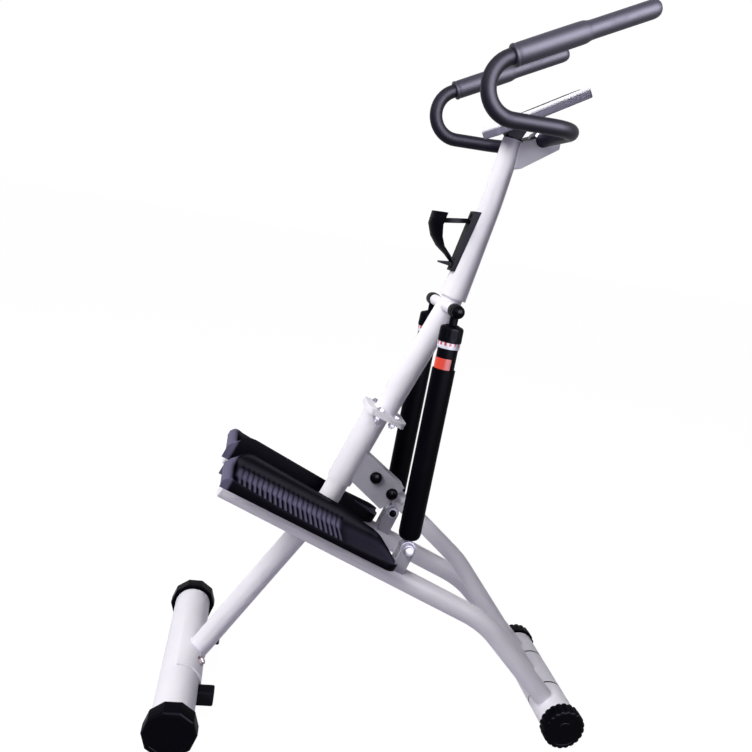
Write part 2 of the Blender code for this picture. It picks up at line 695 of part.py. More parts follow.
def build_console(stand, look):
    half_x, half_y, half_z = (size / 2 for size in CONSOLE_SIZE)
    shell = CONSOLE_WALL
    tilt = make_empty("console_tilt", stand, at(CONSOLE_CENTRE), -CONSOLE_ANGLE)
    base = make_piece("console_base", block((-half_x, -half_y, -half_z), (half_x, half_y, CONSOLE_SPLIT)),
                      look["silver"], tilt)
    tray = make_cutter("console_tray", block((shell - half_x, shell - half_y, shell - half_z),
                                             (half_x - shell, half_y - shell, half_z)), tilt)
    cut(base, tray)
    lid = make_piece("console_lid", block((-half_x, -half_y, CONSOLE_SPLIT + GAP), (half_x, half_y, half_z)),
                     look["silver"], tilt)
    recess = make_cutter("lid_recess", block((shell - half_x, shell - half_y, -half_z),
                                             (half_x - shell, half_y - shell, half_z - shell)), tilt)
    (low_x, low_y), (high_x, high_y) = WINDOW
    opening = make_cutter("window_opening", block((low_x, low_y, 0.0), (high_x, high_y, 0.02)), tilt)
    wide, deep = BUTTON
    button_hole = make_cutter("button_hole", block(
        (BUTTON_X - wide - GAP, -deep - GAP, 0.0), (BUTTON_X + wide + GAP, deep + GAP, 0.02)), tilt)
    cut(lid, recess, opening, button_hole)
    make_piece("display_window", block((low_x + GAP, low_y + GAP, half_z - shell),
                                       (high_x - GAP, high_y - GAP, half_z - GAP)), look["window"], tilt)

    button_pivot = make_empty("mode_button_slide", tilt, (BUTTON_X, 0.0, half_z))
    button = make_piece("mode_button", block((-wide, -deep, -0.004), (wide, deep, 0.0014), 0.0008),
                        look["black"], button_pivot)
    flange = make_cutter("button_flange", block((-wide - 0.002, -deep - 0.002, -0.0040),
                                                (wide + 0.002, deep + 0.002, -shell - GAP)), button_pivot)
    weld(button, flange)
    make_piece("circuit_board", block((-0.050, -0.038, -0.0005), (0.084, 0.038, 0.0011)), look["board"], tilt)

    top_angle = math.atan2(UPPER_POST_TOP[1] - UPPER_POST_BEND[1], UPPER_POST_TOP[0] - UPPER_POST_BEND[0])
    post_top = make_empty("post_top", stand, at(UPPER_POST_TOP), math.pi / 2 - top_angle)
    plug_r = UPPER_POST_R[2] - WALL - 2 * GAP
    bracket = make_piece("console_bracket", turned([
        (0.0, -0.030), (plug_r, -0.030), (plug_r, GAP), (0.0175, GAP), (0.0175, 0.0028), (0.0, 0.0028)],
        ROUND), look["black"], post_top)
    under = [Vector((-0.064, GAP)), Vector((-0.010, GAP))]
    seat = [at(CONSOLE_CENTRE) + Matrix.Rotation(-CONSOLE_ANGLE, 3, "Y") @ Vector((point.x, 0.0, -half_z - GAP))
            for point in under]
    wedge = make_cutter("console_wedge", plate(
        ((0.447, 1.1145), (0.467, 1.1115), (seat[1].x, seat[1].z), (seat[0].x, seat[0].z)), -0.013, 0.013), stand)
    weld(bracket, wedge)


# Pedal arms
SLEEVE_R = FRONT_TUBE_R
SLEEVE_BORE = 0.0338
CLEVIS_TOP_R = 0.0135
BOLT_R = 0.004


def build_arm(name, side, stand, look):
    axis = front_axis(side * SIDE_Y)
    pivot = make_empty("pedal_pivot_" + name, stand, axis)
    line = make_empty("pedal_line_" + name, pivot, at(ARM_HEEL, side * SIDE_Y) - axis, PEDAL_SLOPE)
    heel, bend, end = (at(point, side * SIDE_Y) - axis for point in (ARM_HEEL, ARM_BEND, ARM_END))
    path = rounded([heel, bend, end], [ARM_BEND_R], 8)
    arm = make_piece("pedal_arm_" + name, swept(path, ARM_R, 20, WALL), look["white"], pivot)
    seat = make_cutter("clevis_seat_" + name, swept(path, ARM_R + GAP, 20), pivot)
    low = side * (SLEEVE_INNER - SIDE_Y)
    high = side * (SLEEVE_OUTER - SIDE_Y)
    trim = make_cutter("arm_trim_" + name, turned([
        (0.0, -0.05), (SLEEVE_BORE + 0.001, -0.05), (SLEEVE_BORE + 0.001, 0.05), (0.0, 0.05)], BIG),
        pivot, (0, 0, 0), across())
    sleeve = make_cutter("arm_sleeve_" + name, turned([
        (SLEEVE_BORE, low), (SLEEVE_R, low), (SLEEVE_R, high), (SLEEVE_BORE, high)], BIG),
        pivot, (0, 0, 0), across())
    end_disc = make_cutter("arm_end_disc_" + name, turned([
        (0.0, -0.003), (ARM_R - 0.0008, -0.003), (ARM_R - 0.0008, 0.0008), (ARM_R - 0.0028, 0.0020),
        (0.0, 0.0020)], 20), line, (0, 0, 0), (0.0, -math.pi / 2, 0.0))
    # Vent hole from the sleeve's bore into the arm, as welded tube has
    foot = (bend - end).normalized()
    vent = make_cutter("arm_vent_" + name, swept([end + foot * 0.030, end + foot * 0.048], VENT_R, 12),
                       pivot)
    cut(arm, trim)
    weld(arm, sleeve, end_disc)
    cut(arm, vent)
    build_bush(name, side, pivot, look)
    build_clevis(name, side, line, seat, look)
    build_pedal(name, side, line, look)


def build_bush(name, side, pivot, look):
    # Flanged spool that carries the arm's sleeve on the axle; its flange is at the inner end
    bore = AXLE_R + GAP
    spigot = SLEEVE_BORE - GAP
    core = AXLE_R + 0.0035
    length = SLEEVE_OUTER - SLEEVE_INNER
    seat = 0.012
    make_piece("arm_bush_" + name, turned([
        (bore, -0.0034), (SLEEVE_R, -0.0034), (SLEEVE_R, -GAP), (spigot, -GAP), (spigot, seat), (core, seat),
        (core, length - seat), (spigot, length - seat), (spigot, length + GAP), (SLEEVE_R - 0.0006, length + GAP),
        (SLEEVE_R - 0.0006, length + 0.0032), (bore, length + 0.0032)], BIG),
        look["black"], pivot, (0.0, side * (SLEEVE_INNER - SIDE_Y), 0.0), across(side))


def build_clevis(name, side, line, seat, look):
    lean = 0.004
    top = arc((PIN_ALONG, PIN_ABOVE), CLEVIS_TOP_R, math.radians(5), math.radians(175), 8)
    outline = [(PIN_ALONG + CLEVIS_TOP_R + lean, 0.006)] + top + [(PIN_ALONG - CLEVIS_TOP_R + lean, 0.006)]
    clevis = make_piece("clevis_" + name, plate(outline, -CLEVIS_HALF, CLEVIS_HALF), look["plate"], line)
    inside = make_cutter("clevis_gap_" + name, block((PIN_ALONG - 0.04, -CLEVIS_GAP, 0.0235),
                                                    (PIN_ALONG + 0.04, CLEVIS_GAP, 0.09)), line)
    pin = Vector((PIN_ALONG, 0.0, PIN_ABOVE))
    hole = make_cutter("clevis_hole_" + name, turned([
        (0.0, -0.03), (BOLT_R + GAP, -0.03), (BOLT_R + GAP, 0.03), (0.0, 0.03)], SMALL), line, pin, across())
    cut(clevis, inside, seat, hole)
    face = CLEVIS_HALF + GAP
    make_piece("clevis_bolt_" + name, turned([
        (0.0, -face - 0.009), (0.0050, -face - 0.0078), (0.0085, -face - 0.0045), (0.0090, -face - 0.002),
        (0.0090, -face), (BOLT_R, -face), (BOLT_R, face), (0.0070, face), (0.0070, face + 0.003),
        (0.0045, face + 0.005), (0.0, face + 0.005)], SMALL), look["steel"], line, pin, across(side))


# Pedal tray: a low ribbed lip outside, a high wall inside, and a toe that narrows to a point outside
RIB_START = 0.016
RIB_PITCH = 0.0102
RIB_COUNT = 21
WALL_TOP = ((-0.008, 0.0335), (0.000, 0.0435), (0.008, 0.0535), (0.018, 0.0625), (0.028, 0.064),
            (0.120, 0.060), (0.226, 0.0555), (0.275, 0.0455), (0.290, 0.0443), (0.311, 0.0395),
            (0.322, 0.035), (0.332, 0.0315), (0.336, 0.028))
LIP_TOP = ((-0.008, 0.033), (0.000, 0.0395), (0.010, 0.0375), (0.100, 0.0315), (0.197, 0.0285),
           (0.260, 0.0292), (0.320, 0.031), (0.336, 0.0315))
INNER_FOOT = ((-0.008, 0.004), (0.284, 0.004), (0.300, 0.0195), (0.336, 0.0195))
OUTER_FOOT = 0.0175
TOE_START = 0.296
TOE_LENGTH = 0.040
TOE_SWEEP = 0.068
CORNER_START = 0.318
CORNER_SWEEP = 0.012


def between(table, place):
    for (low, low_value), (high, high_value) in zip(table, table[1:]):
        if place <= high:
            return low_value + (high_value - low_value) * (place - low) / (high - low)
    return table[-1][1]


def pedal_row(place, floor, rib, side):
    inner = PEDAL_INNER
    outer = PEDAL_OUTER
    if place > TOE_START:
        inner -= TOE_SWEEP * ((place - TOE_START) / TOE_LENGTH) ** 2.5
    if place > CORNER_START:
        outer -= CORNER_SWEEP * ((place - CORNER_START) / (TOE_START + TOE_LENGTH - CORNER_START)) ** 2
    wall = between(WALL_TOP, place)
    lip = max(between(LIP_TOP, place) + rib, floor + 0.0008)
    wall = max(wall, floor + 0.0008)
    inner_foot = between(INNER_FOOT, place)
    under = 0.0202
    points = ((-outer, OUTER_FOOT), (-outer, lip), (0.0032 - outer, lip), (0.0045 - outer, floor),
              (inner - 0.006, floor), (inner - 0.004, wall), (inner, wall), (inner, inner_foot),
              (inner - 0.003, inner_foot), (inner - 0.0035, under), (0.0035 - outer, under),
              (0.003 - outer, OUTER_FOOT))
    return [(place, -side * y, z) for y, z in points]


def build_pedal(name, side, line, look):
    rows = [pedal_row(-0.008, 0.029, 0.0, side), pedal_row(-0.004, 0.030, 0.0, side),
            pedal_row(-0.002, TREAD, 0.0, side), pedal_row(0.008, TREAD, 0.0, side)]
    for rib in range(RIB_COUNT * 2 + 1):
        high = rib % 2 == 1
        rows.append(pedal_row(RIB_START + rib * RIB_PITCH / 2, TREAD + (0.0012 if high else 0.0),
                              0.0012 if high else -0.0008, side))
    for place in (0.250, 0.268, 0.284, 0.296, 0.308, 0.318, 0.325, 0.3315):
        rows.append(pedal_row(place, TREAD, 0.0, side))
    rows += [pedal_row(0.333, 0.028, 0.0, side), pedal_row(0.336, 0.027, 0.0, side)]
    make_piece("pedal_" + name, lofted(rows), look["gloss"], line)


# Hydraulic cylinders: heights are counted from the top pivot, down the cylinder
BODY_R = 0.0182
KNOB_R = 0.021
CORE_R = 0.009
KNOB_TOP = -0.024
KNOB_FOOT = -0.055
BODY_FOOT = -0.403
COVER_R = (0.0186, 0.0208)
COVER_TOP = -0.104
ROD_R = 0.005
LOWER_EYE_R = (0.0108, 0.0145)


def eye_ring(bore, radius):
    return turned([(bore, -EYE_HALF), (radius, -EYE_HALF), (radius, EYE_HALF), (bore, EYE_HALF)], ROUND)


def build_cylinder(name, side, stand, look):
    heel = at(ARM_HEEL)
    pin = heel + Matrix.Rotation(PEDAL_SLOPE, 3, "Y") @ Vector((PIN_ALONG, 0.0, PIN_ABOVE))
    down = pin - at(TOP_PIVOT)
    reach = down.length
    tilt = math.atan2(-down.x, -down.z)
    swing = make_empty("cylinder_pivot_" + name, stand, at(TOP_PIVOT, side * SIDE_Y), tilt)

    body = make_piece("cylinder_" + name, turned([
        (0.0, -0.0105), (0.0075, -0.0105), (0.0075, KNOB_TOP), (CORE_R, KNOB_TOP), (CORE_R, KNOB_FOOT),
        (BODY_R, KNOB_FOOT), (BODY_R, BODY_FOOT), (ROD_R + 0.0004, BODY_FOOT), (ROD_R + 0.0004, -0.391),
        (0.0157, -0.391), (0.0157, -0.075), (0.0, -0.075)], ROUND), look["black"], swing)
    top_eye = make_cutter("top_eye_" + name, eye_ring(PIVOT_AXLE_R + GAP, 0.0125), swing, (0, 0, 0), across())
    weld(body, top_eye)
    make_piece("scale_ring_" + name, turned([
        (BODY_R + GAP, KNOB_FOOT - 0.011), (0.0200, KNOB_FOOT - 0.011), (0.0200, KNOB_FOOT - GAP),
        (BODY_R + GAP, KNOB_FOOT - GAP)], ROUND), look["scale"], swing)
    make_piece("dial_" + name, turned([
        (CORE_R + GAP, KNOB_FOOT + GAP), (KNOB_R, KNOB_FOOT + GAP), (KNOB_R, KNOB_TOP - 0.004),
        (KNOB_R - 0.0035, KNOB_TOP - GAP), (CORE_R + GAP, KNOB_TOP - GAP)], ROUND), look["black"], swing)

    inner, outer = COVER_R
    bore = ROD_R + GAP
    make_piece("rod_cover_" + name, turned([
        (inner, COVER_TOP), (outer, COVER_TOP), (outer, -0.418), (outer - 0.0015, -0.4235),
        (outer - 0.0045, -0.4272), (bore, -0.4285), (bore, -0.4200), (inner, -0.4200)], ROUND),
        look["black"], swing)
    rod = make_piece("piston_rod_" + name, turned([
        (0.0, LOWER_EYE_R[0] + 0.001 - reach), (ROD_R, LOWER_EYE_R[0] + 0.001 - reach), (ROD_R, -0.200),
        (0.0154, -0.200), (0.0154, -0.186), (0.0, -0.186)], ROUND), look["steel"], swing)
    lower_eye = make_cutter("lower_eye_" + name, eye_ring(*LOWER_EYE_R), swing, (0, 0, -reach), across())
    weld(rod, lower_eye)


clear_scene()
stand_frame = make_empty("stair_stepper", None, (REAR_X, 0.0, 0.0))
looks = finishes()
build_rear_base(stand_frame, looks)
build_rear_leg(stand_frame, looks)
build_posts(stand_frame, looks)
build_cylinder_mount(stand_frame, looks)
build_front_leg(stand_frame, looks)
build_front_base(stand_frame, looks)
build_upper_post(stand_frame, looks)
build_clamp(stand_frame, looks)
build_handlebar(stand_frame, looks)
build_console(stand_frame, looks)
for side_name, side_sign in SIDES.items():
    build_arm(side_name, side_sign, stand_frame, looks)
    build_cylinder(side_name, side_sign, stand_frame, looks)
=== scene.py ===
import json
import math

import bmesh
import bpy
from mathutils import Matrix, Vector

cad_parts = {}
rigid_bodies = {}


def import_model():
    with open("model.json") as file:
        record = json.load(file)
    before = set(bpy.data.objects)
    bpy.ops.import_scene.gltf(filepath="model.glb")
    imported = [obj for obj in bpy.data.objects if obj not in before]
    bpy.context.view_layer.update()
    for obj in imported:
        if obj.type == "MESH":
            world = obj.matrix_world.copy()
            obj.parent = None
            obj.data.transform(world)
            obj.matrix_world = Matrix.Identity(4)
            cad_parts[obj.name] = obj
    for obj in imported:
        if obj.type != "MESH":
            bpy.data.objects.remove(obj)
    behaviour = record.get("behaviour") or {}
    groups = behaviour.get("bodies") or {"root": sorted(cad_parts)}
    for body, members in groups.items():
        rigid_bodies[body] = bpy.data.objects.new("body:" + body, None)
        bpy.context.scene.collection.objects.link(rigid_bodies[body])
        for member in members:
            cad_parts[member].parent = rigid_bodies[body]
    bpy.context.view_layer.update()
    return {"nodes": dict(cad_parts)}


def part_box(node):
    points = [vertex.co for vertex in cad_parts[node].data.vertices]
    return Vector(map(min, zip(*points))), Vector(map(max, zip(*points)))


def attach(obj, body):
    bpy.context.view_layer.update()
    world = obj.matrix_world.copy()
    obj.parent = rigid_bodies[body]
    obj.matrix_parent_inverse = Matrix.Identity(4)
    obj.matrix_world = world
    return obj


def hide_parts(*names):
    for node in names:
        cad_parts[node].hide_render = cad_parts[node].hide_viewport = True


# Stair stepper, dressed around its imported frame. Metres; X below is counted from the rear base's axis.
for leftover in list(bpy.data.objects):
    bpy.data.objects.remove(leftover, do_unlink=True)
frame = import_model()
nodes = frame["nodes"]
baseLow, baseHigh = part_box("rear_base_tube")
rearX = (baseLow.x + baseHigh.x) / 2
sides = {"left": 1, "right": -1}
print("frame loaded:", len(nodes), "nodes")

# Places that several pieces share: X and Z in the middle plane, angles in degrees
machine = {
    "axleX": 0.738, "axleZ": 0.04167, "rearAxisZ": 0.0447, "sideY": 0.0875,
    "legFoot": (0.0145, 0.047), "legBend": (0.232, 0.400), "legRadius": 0.021,
    "postRadius": 0.025, "middleRadius": 0.022, "flange": (0.311, 0.584), "flangeAngle": 69.5,
    "frontLegBend": (0.5117, 0.3017), "frontLegRadius": 0.0164,
    "armHeel": (0.032, 0.438), "pedalSlope": 21.9, "armBend": (0.5597, 0.2185), "armEnd": (0.7397, 0.039),
    "armRadius": 0.0198, "pinAlong": 0.3531, "pinAbove": 0.0546, "topPivot": (0.388, 0.803),
    "barAxis": (0.506, 1.1194), "gripStart": (0.376, 1.2067), "gripAngle": 27.95, "hornY": 0.1803,
    "console": (0.4885, 1.1636), "consoleAngle": 31.1,
}


def spot(place, y=0.0):
    return Vector((place[0] + rearX, y, place[1]))


def axes(place, xAxis, zAxis):  # a frame from its origin, its X and its Z
    x, z = Vector(xAxis).normalized(), Vector(zAxis).normalized()
    turn = Matrix((x, z.cross(x), z)).transposed().to_4x4()
    return Matrix.Translation(place) @ turn


def sideways(place, side=1):  # Z of a turned piece points outwards, to one side
    return axes(place, (1, 0, 0), (0, side, 0))


def tilted(place, degrees):  # X of the frame climbs by so many degrees
    angle = math.radians(degrees)
    return axes(place, (math.cos(angle), 0, math.sin(angle)), (-math.sin(angle), 0, math.cos(angle)))


# Shader maths
class Wire:
    def __init__(self, graph, socket):
        self.graph = graph
        self.socket = socket

    def maths(self, operation, *values):
        return self.graph.node("Math", {"operation": operation}, dict(enumerate(values)))

    def __add__(self, other):
        return self.maths("ADD", self, other)

    def __radd__(self, other):
        return self.maths("ADD", other, self)

    def __sub__(self, other):
        return self.maths("SUBTRACT", self, other)

    def __rsub__(self, other):
        return self.maths("SUBTRACT", other, self)

    def __mul__(self, other):
        return self.maths("MULTIPLY", self, other)

    def __rmul__(self, other):
        return self.maths("MULTIPLY", other, self)

    def __mod__(self, other):
        return self.maths("FLOORED_MODULO", self, other)

    def __abs__(self):
        return self.maths("ABSOLUTE", self)

    def __lt__(self, other):
        return self.maths("LESS_THAN", self, other)

    def __gt__(self, other):
        return self.maths("GREATER_THAN", self, other)


class Graph:  # the nodes of one material or world
    def __init__(self, tree):
        self.tree = tree

    def join(self, value, socket):
        if isinstance(value, Wire):
            self.tree.links.new(value.socket, socket)
        else:
            socket.default_value = value

    def node(self, kind, settings=None, sockets=None, output=0):
        made = self.tree.nodes.new("ShaderNode" + kind)
        for key, value in (settings or {}).items():
            setattr(made, key, value)
        for key, value in (sockets or {}).items():
            self.join(value, made.inputs[key])
        return Wire(self, made.outputs[output])


class Finish(Graph):  # one material around its Principled shader
    def __init__(self, name, colour, slot=None, **fixed):
        self.slot = slot or name
        self.material = bpy.data.materials.new(name)
        self.material.use_nodes = True
        super().__init__(self.material.node_tree)
        self.shader = self.tree.nodes["Principled BSDF"]
        self.put("Base Color", (*colour, 1.0))
        for socket, value in fixed.items():
            self.put(socket.replace("_", " "), value)

    def put(self, socket, value):
        self.join(value, self.shader.inputs[socket])

    def place(self):
        return self.node("TexCoord", output="Object")

    def parts(self, vector):  # X, Y and Z of a vector
        split = self.node("SeparateXYZ", None, {0: vector}).socket.node
        return [Wire(self, socket) for socket in split.outputs]

    def grain(self, scale, detail=2.0):
        return self.node("TexNoise", None, {"Vector": self.place(), "Scale": scale, "Detail": detail})

    def ramp(self, value, low, high):  # 0 below low, 1 above high
        return self.node("MapRange", {"clamp": True}, {0: value, 1: low, 2: high, 3: 0.0, 4: 1.0})

    def mix(self, share, first, second):
        colours = [(*colour, 1.0) if isinstance(colour, tuple) else colour for colour in (first, second)]
        return self.node("Mix", {"data_type": "RGBA"}, {0: share, 6: colours[0], 7: colours[1]}, 2)

    def bump(self, height, distance, strength):
        sockets = {"Height": height, "Distance": distance, "Strength": strength}
        self.put("Normal", self.node("Bump", None, sockets))


paint = {
    "colour": (0.84, 0.82, 0.86), "shade": (0.79, 0.77, 0.82), "plate": (0.43, 0.42, 0.47),
    "plateShade": (0.37, 0.36, 0.41), "specular": 0.03, "roughness": 0.30, "rougher": 0.12, "dust": 40.0,
    "cloud": 9.0, "cloudEdges": (0.35, 0.75), "peel": 900.0, "peelDepth": 0.00005, "peelBump": 0.35,
}


def powderCoat(name, colour, shade, slot=None):
    made = Finish(name, colour, slot, Specular_IOR_Level=paint["specular"])
    cloud = made.ramp(made.grain(paint["cloud"], 3.0), *paint["cloudEdges"])
    made.put("Base Color", made.mix(cloud, colour, shade))
    made.put("Roughness", paint["roughness"] + paint["rougher"] * made.grain(paint["dust"]))
    made.bump(made.grain(paint["peel"], 1.0), paint["peelDepth"], paint["peelBump"])
    return made


plastic = {"wear": 30.0, "wearEdges": (0.55, 0.85), "wearShare": 0.5, "paler": 1.9, "lift": 0.0008,
           "palest": 0.4, "rougher": 0.14, "bump": 0.5}


def mouldedPlastic(name, colour, roughness, specular=0.5, grain=None, slot=None):  # grain: scale, depth
    made = Finish(name, colour, slot, Specular_IOR_Level=specular)
    paleMask = made.ramp(made.grain(plastic["wear"], 4.0), *plastic["wearEdges"])
    paler = tuple(min(channel * plastic["paler"] + plastic["lift"], max(channel, plastic["palest"]))
                  for channel in colour)
    made.put("Base Color", made.mix(paleMask * plastic["wearShare"], colour, paler))
    made.put("Roughness", roughness + plastic["rougher"] * paleMask)
    if grain:
        made.bump(made.grain(grain[0]), grain[1], plastic["bump"])
    return made


plating = {"lines": 500.0, "darker": 0.75, "rougher": 0.15, "depth": 0.00003, "bump": 0.3}


def platedSteel(name, colour, roughness):
    made = Finish(name, colour, "bright_steel", Metallic=1.0)
    lines = made.grain(plating["lines"])
    darker = tuple(channel * plating["darker"] for channel in colour)
    made.put("Base Color", made.mix(lines, colour, darker))
    made.put("Roughness", roughness + plating["rougher"] * lines)
    made.bump(lines, plating["depth"], plating["bump"])
    return made


white = powderCoat("white_powder_coat", paint["colour"], paint["shade"])
greyPlate = powderCoat("grey_plate_paint", paint["plate"], paint["plateShade"], "grey_white_plate")
deepBlack = (0.0012, 0.0012, 0.003)
black = mouldedPlastic("black_plastic", deepBlack, 0.40, 0.015, (1600.0, 0.00004))
gloss = mouldedPlastic("black_gloss_plastic", deepBlack, 0.28, 0.02, (900.0, 0.00002))
rubber = mouldedPlastic("black_rubber", (0.002, 0.002, 0.004), 0.65, 0.02, (1100.0, 0.00008))
vinyl = mouldedPlastic("black_vinyl", (0.014, 0.012, 0.026), 0.56, 0.17)
coated = mouldedPlastic("black_bar_coat", (0.005, 0.004, 0.011), 0.50, 0.08, slot="black_coated_steel")
sleeveBlack = mouldedPlastic("sleeve_black", (0.0010, 0.0010, 0.0025), 0.45, 0.01, (700.0, 0.00003),
                             "black_plastic")
silver = mouldedPlastic("silver_plastic", (0.27, 0.26, 0.34), 0.45, 0.0)
# a paler copy of the silver plastic for the console's upper face: painted highlight
silverPaintedHighlight = mouldedPlastic("silver_painted_highlight", (0.76, 0.75, 0.80), 0.45, 0.0, slot="silver_plastic")
board = mouldedPlastic("green_board", (0.02, 0.16, 0.06), 0.5, grain=(600.0, 0.00004))
orange = mouldedPlastic("orange_label", (0.72, 0.055, 0.025), 0.35, 0.3, (800.0, 0.00001),
                        "black_plastic")
steel = platedSteel("bright_steel", (0.24, 0.24, 0.27), 0.46)
darkSteel = platedSteel("dark_steel", (0.16, 0.14, 0.14), 0.32)

windowLook = {"colour": (0.20, 0.24, 0.21), "frost": (0.26, 0.31, 0.27), "frostEdges": (0.3, 0.8),
              "roughness": 0.08, "rougher": 0.05}
glass = Finish("display_window", windowLook["colour"], "grey_window", Coat_Weight=1.0, Coat_Roughness=0.03)
frosted = glass.ramp(glass.grain(60.0), *windowLook["frostEdges"])
glass.put("Base Color", glass.mix(frosted, windowLook["colour"], windowLook["frost"]))
glass.put("Roughness", windowLook["roughness"] + windowLook["rougher"] * glass.grain(300.0))
print("finishes made")


# Mesh tools
onAxis = 1e-6  # a smaller radius is a point on the axis
creaseAngle = 32.0  # faces that meet at more degrees keep a sharp edge


def polar(reach, angle, height):
    return reach * math.cos(angle), reach * math.sin(angle), height


def lathe(profile, steps=48, shape=None):  # radius and height; a profile off the axis closes on itself
    mesh = bmesh.new()
    rings = []
    for radius, height in profile:
        count = steps if radius > onAxis else 1
        ring = []
        for index in range(count):
            angle = math.tau * index / steps
            reach = radius * (shape(angle, height) if shape else 1.0)
            ring.append(mesh.verts.new(polar(reach, angle, height)))
        rings.append(ring)
    pairs = list(zip(rings, rings[1:]))
    if profile[0][0] > onAxis:
        pairs.append((rings[-1], rings[0]))
    for low, high in pairs:
        for index in range(steps):
            after = (index + 1) % steps
            if len(low) == 1 and len(high) == 1:
                break
            if len(low) == 1:
                mesh.faces.new((low[0], high[index], high[after]))
            elif len(high) == 1:
                mesh.faces.new((low[index], low[after], high[0]))
            else:
                mesh.faces.new((low[index], low[after], high[after], high[index]))
    return mesh


def eased(points, size, steps=4):  # rounds the corners of an open run of points
    done = [points[0]]
    for behind, corner, ahead in zip(points, points[1:], points[2:]):
        a, b, c = Vector(behind), Vector(corner), Vector(ahead)
        reach = min(size, (a - b).length * 0.45, (c - b).length * 0.45)
        start, end = b + (a - b).normalized() * reach, b + (c - b).normalized() * reach
        for step in range(steps + 1):
            t = step / steps
            done.append(tuple(start * (1 - t) ** 2 + b * 2 * t * (1 - t) + end * t ** 2))
    done.append(points[-1])
    return done


def bent(corners, radii, steps=12):  # straight runs with a true arc at each inner corner
    path = [corners[0]]
    for behind, corner, ahead, radius in zip(corners, corners[1:], corners[2:], radii):
        into, away = (corner - behind).normalized(), (ahead - corner).normalized()
        turn = into.angle(away)
        centre = corner + (away - into).normalized() * (radius / math.cos(turn / 2))
        spoke = corner - into * (radius * math.tan(turn / 2)) - centre
        axis = into.cross(away).normalized()
        path += [centre + Matrix.Rotation(turn * step / steps, 3, axis) @ spoke
                 for step in range(steps + 1)]
    return path + [corners[-1]]


def sweep(path, sizes, around=32, loop=False):
    rings = []
    count = len(path)
    normal = None
    for index, point in enumerate(path):
        ahead = path[(index + 1) % count] if loop else path[min(index + 1, count - 1)]
        behind = path[index - 1] if loop or index else path[0]
        lead = (ahead - behind).normalized()
        if normal is None:
            normal = Vector((0, 1, 0)) if abs(lead.y) < 0.9 else Vector((1, 0, 0))
        normal = (normal - lead * normal.dot(lead)).normalized()
        other = lead.cross(normal)
        size = sizes[index] if isinstance(sizes, list) else sizes
        turns = [math.tau * k / around for k in range(around)]
        rings.append([point + (normal * math.cos(turn) + other * math.sin(turn)) * size for turn in turns])
    return loft(rings, loop)


def loft(points, loop=False):  # quads from ring to ring, closed at the ends unless it is a loop
    mesh = bmesh.new()
    rings = [[mesh.verts.new(point) for point in ring] for ring in points]
    for low, high in zip(rings, rings[1:] + (rings[:1] if loop else [])):
        for index in range(len(low)):
            after = (index + 1) % len(low)
            mesh.faces.new((low[index], low[after], high[after], high[index]))
    if not loop:
        mesh.faces.new(rings[0])
        mesh.faces.new(rings[-1])
    return mesh


def slab(outline, low, high):  # outline in X and Z, thickness along Y
    return loft([[(x, y, z) for x, z in outline] for y in (low, high)])


def roundedBox(half, corner, levels, steps=6):  # levels: height and inset, from below upwards
    rings = []
    for height, inset in levels:
        radius = max(corner - inset, 0.0004)
        wide, deep = half[0] - inset - radius, half[1] - inset - radius
        ring = []
        for quarter, (sx, sy) in enumerate(((1, 1), (-1, 1), (-1, -1), (1, -1))):
            for step in range(steps + 1):
                angle = math.pi / 2 * (quarter + step / steps)
                x, y = sx * wide + radius * math.cos(angle), sy * deep + radius * math.sin(angle)
                ring.append((x, y, height))
        rings.append(ring)
    return loft(rings)


def prism(corners, levels):  # a many-sided body; levels: reach of a corner and height
    turns = [math.tau * k / corners for k in range(corners)]
    return loft([[polar(reach, turn, height) for turn in turns] for reach, height in levels])


def placed(name, data):  # a new object of the scene
    made = bpy.data.objects.new(name, data)
    bpy.context.scene.collection.objects.link(made)
    return made


def solid(name, mesh):  # the same from a bmesh, with its faces turned outwards
    bmesh.ops.recalc_face_normals(mesh, faces=mesh.faces[:])
    data = bpy.data.meshes.new(name)
    mesh.to_mesh(data)
    mesh.free()
    return placed(name, data)


def addPiece(name, mesh, finish, body, place=None, standsFor=(), edge=0.0, crease=creaseAngle):
    piece = solid(name, mesh)
    piece.data.shade_smooth()
    piece.data.materials.append(finish.material)
    piece.matrix_world = place or Matrix()
    if edge:
        softenEdges(piece, edge, crease)
    else:
        piece.data.set_sharp_from_angle(angle=math.radians(crease))
    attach(piece, body)
    if standsFor:
        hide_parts(*standsFor)
    return piece


def softenEdges(piece, width, crease=creaseAngle):
    change = piece.modifiers.new("softEdges", "BEVEL")
    change.width = width
    change.segments = 2
    change.limit_method = "ANGLE"
    change.angle_limit = math.radians(crease)
    change.harden_normals = True


def carve(piece, cutterMesh, place):  # cuts a shape out of a piece for good
    cutter = solid("cutter", cutterMesh)
    cutter.matrix_world = place
    change = piece.modifiers.new("carve", "BOOLEAN")
    change.solver = "EXACT"
    change.object = cutter
    bpy.context.view_layer.update()
    result = bpy.data.meshes.new_from_object(piece.evaluated_get(bpy.context.evaluated_depsgraph_get()))
    piece.modifiers.clear()
    piece.data = result
    bpy.data.objects.remove(cutter)


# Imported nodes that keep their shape: their split faces are joined, and only true edges stay sharp
joinWithin = 0.00002
edgeWidth = {"plate": 0.0008, "moulded": 0.0006}


